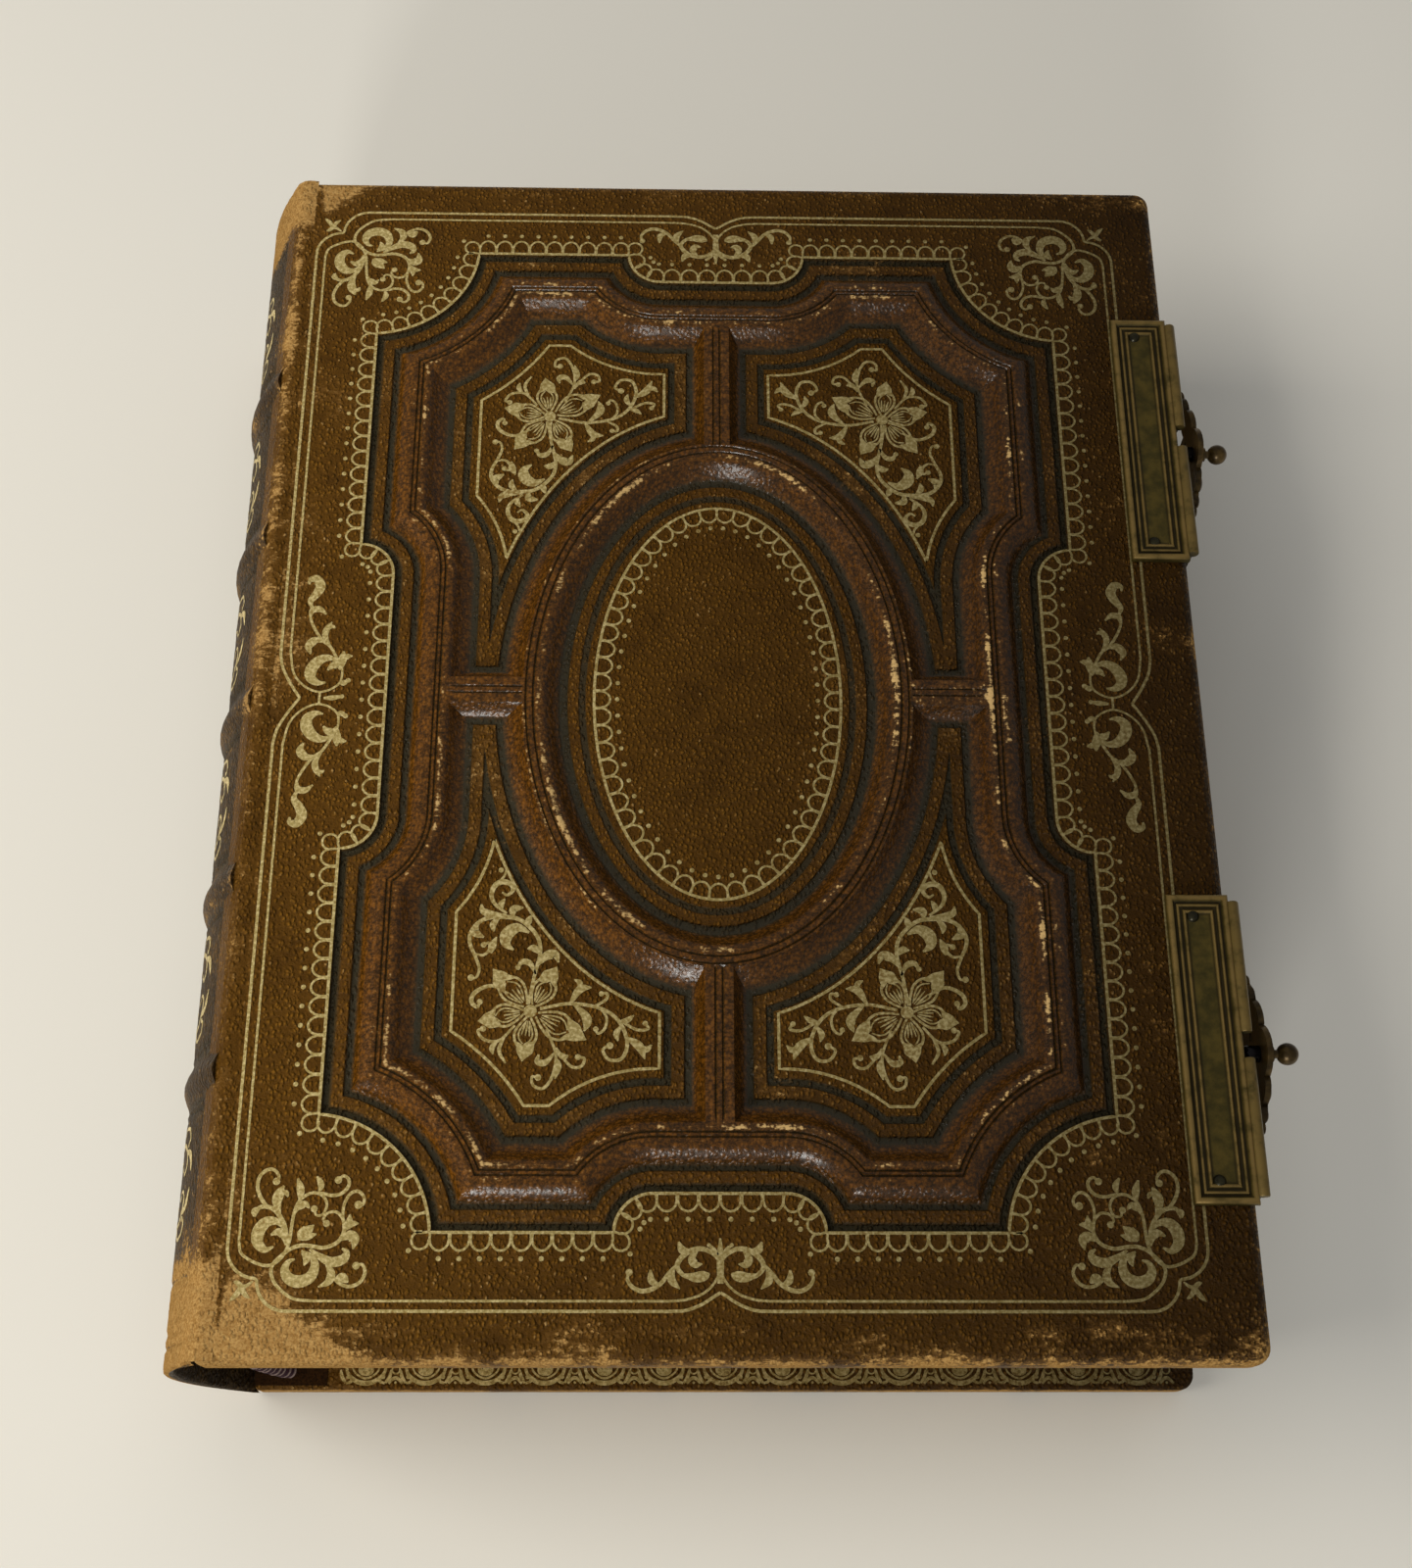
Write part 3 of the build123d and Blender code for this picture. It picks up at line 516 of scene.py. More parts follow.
def panel_quarter(inset):
    """The panel's outline, that far inside its gold line, from its head to its right side."""
    half_width, half_length = PANEL_HALF
    notch, scoop = NOTCH_RADIUS + inset, SCOOP_RADIUS + inset
    past_notch = math.sqrt(notch ** 2 - inset ** 2)
    turn = math.degrees(math.asin(inset / notch))
    drop = SCOOP_SETBACK + inset
    reach = math.sqrt(scoop ** 2 - drop ** 2)
    tilt = math.degrees(math.atan2(drop, reach))
    scoop_centre = (half_width + SCOOP_SETBACK, half_length + SCOOP_SETBACK)
    return joined(
        run((0, half_length - notch), (WAIST_HALF[0], half_length - notch)),
        arc((WAIST_HALF[0], half_length), notch, -90, -turn),
        run((WAIST_HALF[0] + past_notch, half_length - inset),
            (scoop_centre[0] - reach, half_length - inset)),
        arc(scoop_centre, scoop, 180 + tilt, 270 - tilt),
        run((half_width - inset, scoop_centre[1] - reach),
            (half_width - inset, WAIST_HALF[1] + past_notch)),
        arc((half_width, WAIST_HALF[1]), notch, 90 + turn, 180),
        run((half_width - notch, WAIST_HALF[1]), (half_width - notch, 0)),
    )


def mirrored_loop(quarter):
    """A closed loop from the quarter that runs from the head's middle to the right side's middle."""
    right = joined(quarter, (quarter * (1, -1))[::-1])
    return joined(right, (right * (-1, 1))[::-1])[:-1]


def ellipse_quarter(outset, start=0.0, finish=90.0, step=1.2):
    """Part of the oval's quarter, that far outside its gold line, clockwise from the head in degrees."""
    a, b = OVAL_HALF[0] + outset, OVAL_HALF[1] + outset
    count = max(6, int(math.radians(finish - start) * b / step))
    angles = np.radians(np.linspace(start, finish, count))
    return np.column_stack([a * np.sin(angles), b * np.cos(angles)])


def spandrel_loop(from_frame, from_ring, beside):
    """The outline of the right head spandrel, in from the frame, ring and bars by those distances."""
    a, b = OVAL_HALF[0] + from_ring, OVAL_HALF[1] + from_ring
    outer = panel_quarter(from_frame)
    outer = outer[np.argmax(outer[:, 0] > beside):]
    outer = np.concatenate([[(beside, outer[0][1])], outer])
    below = np.nonzero(outer[:, 1] < beside)[0]
    inside = np.nonzero((outer[:, 0] / a) ** 2 + (outer[:, 1] / b) ** 2 < 1)[0]
    last = min([*below[:1], *inside[:1], len(outer)])
    p, q = outer[last - 1], outer[min(last, len(outer) - 1)]
    if len(inside) and inside[0] == last:
        shares = np.linspace(0, 1, 40)
        tried = p + (q - p) * shares[:, None]
        gap = np.abs((tried[:, 0] / a) ** 2 + (tried[:, 1] / b) ** 2 - 1)
        tip = tried[np.argmin(gap)]
        finish = math.degrees(math.atan2(tip[0] / a, tip[1] / b))
        outer = np.concatenate([outer[:last], [tip]])
        inner = ellipse_quarter(from_ring, math.degrees(math.asin(beside / a)), finish)[:-1]
        return joined(outer, inner[::-1], run(inner[0], outer[0])[1:-1])
    share = (p[1] - beside) / max(p[1] - q[1], 1e-6)
    corner = p + (q - p) * share
    finish = math.degrees(math.acos(beside / b))
    inner = ellipse_quarter(from_ring, math.degrees(math.asin(beside / a)), finish)
    return joined(
        outer[:last], run(corner, (inner[-1][0], beside)), inner[::-1], run(inner[0], outer[0])[1:-1]
    )


def four_ways(loop):
    """The loop in all four quarters of the panel."""
    return [loop * signs for signs in QUARTERS]


def board_loop(inset):
    """The board's outline, that far inside its edge, rounded at its fore corners."""
    low_x, high_x, high_y = joint_x + inset, fore_x - inset, half_height - inset
    round_fore = max(CORNER_ROUND - inset, LEAST_ROUND)
    round_joint = max(JOINT_CORNER_ROUND - inset, LEAST_ROUND)
    corners = []
    for x, y, radius, start in (
        (high_x, high_y, round_fore, 0), (low_x, high_y, round_joint, 90),
        (low_x, -high_y, round_joint, 180), (high_x, -high_y, round_fore, 270),
    ):
        centre = (x - math.copysign(radius, x), y - math.copysign(radius, y))
        corners.append(quarter_turn(centre, radius, start, CORNER_POINTS))
    loop = []
    for corner, following in zip(corners, corners[1:] + corners[:1]):
        side = following[0] - corner[-1]
        count = LONG_SIDE_STEPS if abs(side[1]) > abs(side[0]) else SHORT_SIDE_STEPS
        loop += [corner, (corner[-1] + side * np.linspace(0, 1, count + 1)[:, None])[1:-1]]
    return np.concatenate(loop)


# Relief of the front cover

def edge_distance(x, y):
    """How far a point lies inside the board's outline, at the joint and at the other edges."""
    centre_x, half_width = (joint_x + fore_x) / 2, (fore_x - joint_x) / 2
    dx, dy = np.abs(x - centre_x) - half_width + CORNER_ROUND, np.abs(y) - half_height + CORNER_ROUND
    beyond = np.hypot(np.maximum(dx, 0), np.maximum(dy, 0)) + np.minimum(np.maximum(dx, dy), 0)
    rounded = CORNER_ROUND - beyond
    square = np.minimum(half_height - np.abs(y), fore_x - x)
    return x - joint_x, np.where(x < centre_x, square, rounded)


def frame_inset(x, y):
    """How far a point lies inside the panel's gold line."""
    x, y = np.abs(x), np.abs(y)
    sides = np.minimum(PANEL_HALF[0] - x, PANEL_HALF[1] - y)
    scoop = np.hypot(PANEL_HALF[0] + SCOOP_SETBACK - x, PANEL_HALF[1] + SCOOP_SETBACK - y) - SCOOP_RADIUS
    head = np.hypot(np.maximum(x - WAIST_HALF[0], 0), PANEL_HALF[1] - y) - NOTCH_RADIUS
    side = np.hypot(PANEL_HALF[0] - x, np.maximum(y - WAIST_HALF[1], 0)) - NOTCH_RADIUS
    return np.minimum.reduce([sides, scoop, head, side])


def ring_outset(x, y):
    """How far a point lies outside the oval's gold line."""
    low, high = np.full(x.shape, 0.5 - OVAL_HALF[0]), np.full(x.shape, 140.0)
    for _ in range(30):
        middle = (low + high) / 2
        outside = (x / (OVAL_HALF[0] + middle)) ** 2 + (y / (OVAL_HALF[1] + middle)) ** 2 > 1
        low, high = np.where(outside, middle, low), np.where(outside, high, middle)
    return (low + high) / 2


def section(table, distance):
    """What a section's table gives after its first column, at those distances."""
    places, *columns = np.array(table, float).T
    return np.column_stack([np.interp(distance, places, column) for column in columns])


def relief(x, y):
    """Height over the border, groove, wear and polish of the front cover, at model coordinates."""
    px, py = x - PANEL_SHIFT, y - PANEL_RISE
    inset, outset = frame_inset(px, py), ring_outset(px, py)
    beside = np.minimum(np.abs(px), np.abs(py))
    down = np.minimum.reduce([
        (inset - FRAME_SHOULDER) / (FRAME_FOOT - FRAME_SHOULDER),
        (outset - RING_SHOULDER) / (RING_FOOT - RING_SHOULDER),
        (beside - BAR_TOP) / (BAR_FOOT - BAR_TOP),
    ])
    foot = np.minimum.reduce([inset - FRAME_FOOT, outset - RING_FOOT, beside - BAR_FOOT])
    shape = section(FRAME_SECTION, inset)
    on_bar = (inset > FRAME_SHOULDER) & (outset > RING_SHOULDER) & (down <= 0)
    for within, table, distance in (
        (outset < RING_SHOULDER, RING_SECTION, outset), (on_bar, BAR_SECTION, beside),
        (down > 0, SLOPE_SECTION, np.clip(down, 0, 1)), (foot > 0, FIELD_SECTION, foot),
    ):
        shape = np.where(within[:, None], section(table, distance), shape)
    shape[inset <= 0] = 0
    return shape


# Where handling has worn the leather: how far the wear reaches, and how strong it is
RIM_WEAR = (1.6, 0.58)
TAIL_WEAR = (5.5, 0.46)
HEAD_WEAR = (6.5, 0.3)
SPINE_SIDE_WEAR = (5.5, 0.4)
# The same at the corners, after their places
CORNER_WEAR = (
    (fore_x, -half_height, 9.0, 0.7), (fore_x, half_height, 9.0, 0.6),
    (joint_x + 4, half_height - 20, 8.0, 0.3),
)
SPINE_SIDE_PLACE = 3.0
PATCH_PLACE = 6.0             # rubbed patches along the tail edge
PATCH_REACH = 2.2
CREASE_PLACE = 4.2            # the joint's crease, which keeps its dye but for its last few millimetres
CREASE_KEEPS = (1.3, 0.7)
CREASE_END = (3.0, 4.0)
INSIDE_WEAR = 0.25            # wear of a board's inner side, as a share of its outer side's
# Bare leather at the joint's ends: strength, reach, softness, and how it slants away from the joint
TAIL_END_WEAR = (1.6, 18.0, 3.6, 0.62)
HEAD_END_WEAR = (2.2, 11.0, 3.2, 0.8)


def bell(distance, reach, height=1.0):
    """A soft hump of that height over no distance, a third as high at its reach."""
    return height * np.exp(-(distance / reach) ** 2)


def end_wear(beside_joint, y):
    """How bare the leather is at the head and tail of the joint, where the book is pulled and stood."""
    ends = []
    for to_end, end in ((half_height + y, TAIL_END_WEAR), (half_height - y, HEAD_END_WEAR)):
        strength, reach, soft, slant = end
        ends.append(strength / (1 + np.exp((to_end + slant * beside_joint - reach) / soft)))
    return np.maximum(*ends)


def handled(x, y):
    """How much handling has worn the leather there: along the edges, the joint and the corners."""
    to_joint, to_edge = edge_distance(x, y)
    over_tail = y + half_height
    patches = 0.3 + 0.24 * np.sin(0.085 * x + 2.2) + 0.08 * np.sin(0.37 * x)
    edges = bell(over_tail, *TAIL_WEAR) + bell(half_height - y, *HEAD_WEAR)
    edges = np.maximum(edges, bell(over_tail - PATCH_PLACE, PATCH_REACH, patches))
    corners = [bell(np.hypot(x - at_x, y - at_y), *wear) for at_x, at_y, *wear in CORNER_WEAR]
    ends = end_wear(np.maximum(x - joint_x - 2, 0), y)
    kept = bell(x - joint_x - CREASE_PLACE, *CREASE_KEEPS)
    kept = kept * np.clip((over_tail - CREASE_END[0]) / CREASE_END[1], 0, 1)
    return np.maximum.reduce([
        bell(to_edge, *RIM_WEAR) + 0.5 * edges, edges, bell(to_joint - SPINE_SIDE_PLACE, *SPINE_SIDE_WEAR),
        *corners, ends * (1 - kept), np.zeros_like(x),
    ])


def front_cover_loops():
    """Every line of the front cover where its section bends."""
    loops = [board_loop(inset) for inset in EDGE_INSETS]
    inside = [mirrored_loop(panel_quarter(inset)) for inset, *_ in FRAME_SECTION[:-1]]
    inside += [mirrored_loop(ellipse_quarter(outset)) for outset, *_ in RING_SECTION]
    for share, *_ in SLOPE_SECTION:
        inside += four_ways(spandrel_loop(
            FRAME_SHOULDER + share * (FRAME_FOOT - FRAME_SHOULDER),
            RING_SHOULDER + share * (RING_FOOT - RING_SHOULDER), BAR_TOP + share * (BAR_FOOT - BAR_TOP),
        ))
    for step, *_ in FIELD_SECTION[1:-1]:
        inside += four_ways(spandrel_loop(FRAME_FOOT + step, RING_FOOT + step, BAR_FOOT + step))
    reach = NOTCH_RADIUS + FRAME_SHOULDER - BAR_OVERLAP
    level_span, upright_span = ((OVAL_HALF[k] + RING_SHOULDER, PANEL_HALF[k] - reach) for k in (0, 1))
    for place in (BAR_GROOVE_SIDES[0], BAR_GROOVE_PLACE, BAR_GROOVE_SIDES[1]):
        for side, end in ((-1, -1), (-1, 1), (1, -1), (1, 1)):
            upright = run(*((side * place, end * y) for y in upright_span))
            level = run(*((end * x, side * place) for x in level_span))
            inside += [np.concatenate([line, line[::-1][1:-1]]) for line in (upright, level)]
    return loops + [loop + (PANEL_SHIFT, PANEL_RISE) for loop in inside]


def board_shell(outer_z, inner_z, outer_points, outer_faces):
    """Closes a board's outer face with its sides and its inner face. Returns points and faces."""
    outward = 1 if outer_z > inner_z else -1
    rings = [(0, outer_z - outward * EDGE_ROLL)]
    rings += [(inset, inner_z + outward * rise) for inset, rise in INNER_EDGE]
    rows = [at_height(board_loop(inset), z) for inset, z in rings]
    count = len(rows[0])
    inner, inner_faces = triangulated([board_loop(INNER_ROLL), board_loop(INNER_ROLL + 0.5)])
    sides = strip_faces(len(rows), count, True, len(outer_points))
    first = len(outer_points) + len(rows) * count
    inner_faces = [[first + i for i in face] for face in inner_faces]
    faces = [*outer_faces, *(face[::-1] for face in sides), *(face[::-1] for face in inner_faces)]
    if outward < 0:
        faces = [face[::-1] for face in faces]
    return np.concatenate([outer_points, *rows, at_height(inner, inner_z)]), faces


def merged(piece):
    """Joins points that lie together, and turns the faces outwards."""
    shape = bmesh.new()
    shape.from_mesh(piece.data)
    bmesh.ops.remove_doubles(shape, verts=shape.verts, dist=MERGE_REACH * MM)
    bmesh.ops.recalc_face_normals(shape, faces=shape.faces)
    shape.to_mesh(piece.data)
    shape.free()
    piece.data.set_sharp_from_angle(angle=math.radians(SHARP))
    return piece


def rolled_drop(x, y):
    """How far a board's face falls away where the leather rolls over its edges."""
    to_joint, to_edge = edge_distance(x, y)
    near, side = np.clip(to_edge, 0, EDGE_ROLL), np.clip(to_joint, 0, JOINT_ROLL)
    drop = EDGE_ROLL - np.sqrt(EDGE_ROLL ** 2 - (EDGE_ROLL - near) ** 2)
    side_drop = JOINT_ROLL - np.sqrt(JOINT_ROLL ** 2 - (JOINT_ROLL - side) ** 2)
    return np.maximum(drop, side_drop)


def border_points():
    """Loose points over the flat border, close enough together to carry its wear."""
    axes = [
        np.arange(low + BORDER_MARGIN, high - BORDER_MARGIN + BORDER_STEP / 4, BORDER_STEP)
        for low, high in ((joint_x, fore_x), (-half_height, half_height))
    ]
    points = np.column_stack([axis.ravel() for axis in np.meshgrid(*axes)])
    return points[frame_inset(*(points - (PANEL_SHIFT, PANEL_RISE)).T) < -BORDER_CLEAR]


def bound_board(body, node, material, levels, plane, height, faces, marks):
    """A board in one skin of leather, from its outer face and the levels of that and its inner face.
    The marks are the outer face's groove, wear and polish, to which the wear of handling is added."""
    points, faces = board_shell(*levels, at_height(plane, height), faces)
    pressing = np.zeros((len(points), 3))
    pressing[:len(plane)] = marks
    pressing[:, 1] = np.maximum(pressing[:, 1], handled(points[:, 0], points[:, 1]))
    inside = np.abs(points[:, 2] - levels[1]) < INNER_ROLL - MERGE_REACH
    inside[:len(plane)] = False
    pressing[inside, 1] *= INSIDE_WEAR
    name = body + "_leather"
    merged(make_piece(name, points, faces, material, body, pressing, replaces=[node]))


def front_cover(material):
    """The moulded front board."""
    plane, faces = triangulated(front_cover_loops(), border_points())
    shape = relief(*plane.T)
    height = BORDER_LEVEL + shape[:, 0] - rolled_drop(*plane.T)
    bound_board("front_cover", "front_board", material, (BORDER_LEVEL, front_low[2]),
                plane, height, faces, shape[:, 1:])


# Gold tooling

def smooth_line(points, steps=6):
    """A smooth line through a few points."""
    points = np.asarray(points, float)
    padded = np.concatenate([[2 * points[0] - points[1]], points, [2 * points[-1] - points[-2]]])
    line = []
    for a, b, c, d in zip(padded, padded[1:], padded[2:], padded[3:]):
        for t in np.linspace(0, 1, steps, endpoint=False):
            line.append(0.5 * (2 * b + (c - a) * t + (2 * a - 5 * b + 4 * c - d) * t ** 2
                               + (3 * b - a - 3 * c + d) * t ** 3))
    line.append(points[-1])
    return np.array(line)


def ribbon(line, widths, closed=False):
    """A flat ribbon along a line: its points and faces."""
    line = np.asarray(line, float)
    widths = np.broadcast_to(np.asarray(widths, float), (len(line),))
    if closed:
        ahead = np.roll(line, -1, 0) - np.roll(line, 1, 0)
    else:
        ahead = np.gradient(line, axis=0)
    ahead /= np.maximum(np.hypot(*ahead.T), 1e-9)[:, None]
    across = np.column_stack([-ahead[:, 1], ahead[:, 0]]) * widths[:, None] / 2
    points = np.stack([line + across, line - across], 1).reshape(-1, 2)
    count = len(line)
    ends = [(i, (i + 1) % count) for i in range(count - (not closed))]
    return points, [(2 * i, 2 * i + 1, 2 * j + 1, 2 * j) for i, j in ends]


def dot(centre, radius, sides=10):
    """A round dot."""
    return on_circle(centre, radius, whole_turn(sides)), [tuple(range(sides))]


def ring(centre, radius, width=RING_WIDTH, sides=18):
    """A thin ring."""
    return ribbon(on_circle(centre, radius, whole_turn(sides)), width, True)


def vine(points, root=0.4, belly=0.5, tip=0.35, ball=0.0, steps=6):
    """A tooled stem or leaf that swells in its middle, with a ball at its tip if it has one."""
    line = smooth_line(points, steps)
    share = np.linspace(0, 1, len(line))
    end = np.where(share < 0.5, root, tip)
    widths = end + (belly - end) * np.sin(math.pi * share) ** 1.2
    drawn = [ribbon(line, widths)]
    if ball:
        drawn.append(dot(line[-1], ball))
    return drawn


class Gilding:
    """Gathers flat tooled shapes and lays them on the leather as one piece."""

    def __init__(self):
        self.points, self.faces, self.lifts, self.laid = [], [], [], 0

    def add(self, drawn, origin=(0, 0), signs=(1, 1), turn=0):
        """Adds shapes, mirrored by the signs, turned by an angle in degrees and moved to the origin.
        Each shape lies a hair higher than the last, so that none share a plane where they cross."""
        c, s = math.cos(math.radians(turn)), math.sin(math.radians(turn))
        for points, faces in drawn:
            first = len(self.points)
            points = np.asarray(points) * signs @ np.array([[c, s], [-s, c]]) + origin
            self.points.extend(points)
            self.lifts.extend([TOOL_LIFT + self.laid % TOOL_LAYERS * TOOL_STAGGER] * len(points))
            self.laid += 1
            self.faces.extend([first + i for i in face] for face in faces)

    def lay(self, name, material, body, place, outward=1):
        """Makes the piece, with each point placed on the leather by its two coordinates and its lift."""
        plane = np.array(self.points)
        faces = []
        for face in self.faces:
            xs, ys = plane[face].T
            area = np.sum(xs * np.roll(ys, -1) - np.roll(xs, -1) * ys)
            faces.append(face if area * outward > 0 else face[::-1])
        return make_piece(name, place(*plane.T, np.array(self.lifts)), faces, material, body)


def on_cover(x, y, lift):
    """Points on the front cover's leather, lifted off it."""
    return np.column_stack([x, y, BORDER_LEVEL + relief(x, y)[:, 0] - rolled_drop(x, y) + lift])


def looped_border(line, outward):
    """Scallops with a dot over each, along one stretch of a line."""
    line = np.asarray(line, float)
    reach = np.concatenate([[0], np.cumsum(np.hypot(*np.diff(line, axis=0).T))])
    count = max(1, round(reach[-1] / LOOP_PITCH))
    drawn = []
    bases = np.linspace(0, reach[-1], count + 1)
    for start, finish in zip(bases, bases[1:]):
        ends = np.array([[np.interp(s, reach, line[:, k]) for k in (0, 1)] for s in (start, finish)])
        middle = np.array([np.interp((start + finish) / 2, reach, line[:, k]) for k in (0, 1)])
        along = ends[1] - ends[0]
        width = np.hypot(*along)
        along /= width
        normal = np.array([along[1], -along[0]]) * outward
        angles = np.linspace(0, math.pi, 11)
        side = -np.cos(angles) * np.interp(np.sin(angles), [0, 0.5, 1], [0.46, 0.52, 0.5]) * width
        rise = np.sin(angles) ** 0.75 * LOOP_HEIGHT
        loop = middle + side[:, None] * along + rise[:, None] * normal
        drawn.append(ribbon(loop, FINE_WIDTH))
        drawn.append(dot(middle + normal * LOOP_DOT_HEIGHT, LOOP_DOT_RADIUS, SMALL_DOT_SIDES))
    return drawn


def corner_loop(corner, direction):
    """The extra scallop that turns a border round a sharp corner."""
    direction = np.asarray(direction, float) / np.hypot(*direction)
    angles = np.linspace(-CORNER_LOOP_HALF_TURN, CORNER_LOOP_HALF_TURN, 13)
    angles += math.atan2(direction[1], direction[0])
    loop = on_circle(corner + direction * CORNER_LOOP_PLACE, CORNER_LOOP_RADIUS, angles)
    tip = dot(corner + direction * CORNER_DOT_PLACE, LOOP_DOT_RADIUS, SMALL_DOT_SIDES)
    return [ribbon(loop, FINE_WIDTH), tip]


def panel_border():
    """The scallops round the right head quarter of the panel."""
    quarter = panel_quarter(0)
    reach = math.sqrt(SCOOP_RADIUS ** 2 - SCOOP_SETBACK ** 2)
    corners = (
        (WAIST_HALF[0] + NOTCH_RADIUS, PANEL_HALF[1]), (PANEL_HALF[0] + SCOOP_SETBACK - reach, PANEL_HALF[1]),
        (PANEL_HALF[0], PANEL_HALF[1] + SCOOP_SETBACK - reach), (PANEL_HALF[0], WAIST_HALF[1] + NOTCH_RADIUS),
    )
    cuts = [int(np.argmin(np.hypot(*(quarter - corner).T))) for corner in corners]
    drawn = []
    for start, finish in zip([0, *cuts], [*cuts, len(quarter) - 1]):
        drawn += looped_border(quarter[start:finish + 1], -1)
    for corner, direction in zip(corners, ((-0.8, 1), (1, 0.9), (0.9, 1), (1, -0.8))):
        drawn += corner_loop(corner, direction)
    return drawn


def fillet_lines():
    """A quarter of the double gold lines, from the tail's middle to the left side's middle. The origin
    is the fillet's corner at the spine and tail."""
    middle, side = FILLET_HALF
    outer = joined(
        smooth_line([
            (middle, 3.5), (middle - 1.2, 2.8), (middle - 3.6, 1.3), (middle - 6.6, 0.2), (middle - 9.5, 0),
        ]),
        run((middle - 10, 0), (12, 0)), arc((12, 5.9), 5.9, 270, 182),
        arc((5.9, 12), 5.9, 268, 180), run((0, 12.5), (0, side - 11)),
        smooth_line([(0, side - 10.5), (0.6, side - 7.5), (1.9, side - 4.7), (3.4, side - 2.2), (4.9, side)]),
    )
    inner_tail = joined(
        smooth_line([
            (middle, 8.6), (middle - 0.3, 6.9), (middle - 1.5, 4.9), (middle - 3.6, 3.2), (middle - 6.6, 2.2),
            (middle - 9.6, 1.9),
        ]),
        run((middle - 10, 1.9), (17, 1.9)),
    )
    inner_side = joined(
        run((2.1, 13), (2.1, side - 11.5)),
        smooth_line([
            (2.1, side - 11), (3.1, side - 6.0), (5.4, side - 3.0), (8.4, side - 1.5), (11.0, side - 1.9),
            (13.2, side - 3.6), (13.6, side - 6.0), (13.2, side - 8.0),
        ]),
    )
    inner = [ribbon(line, INNER_FILLET_WIDTH) for line in (inner_tail, inner_side)]
    return [ribbon(outer, FILLET_WIDTH), *inner]


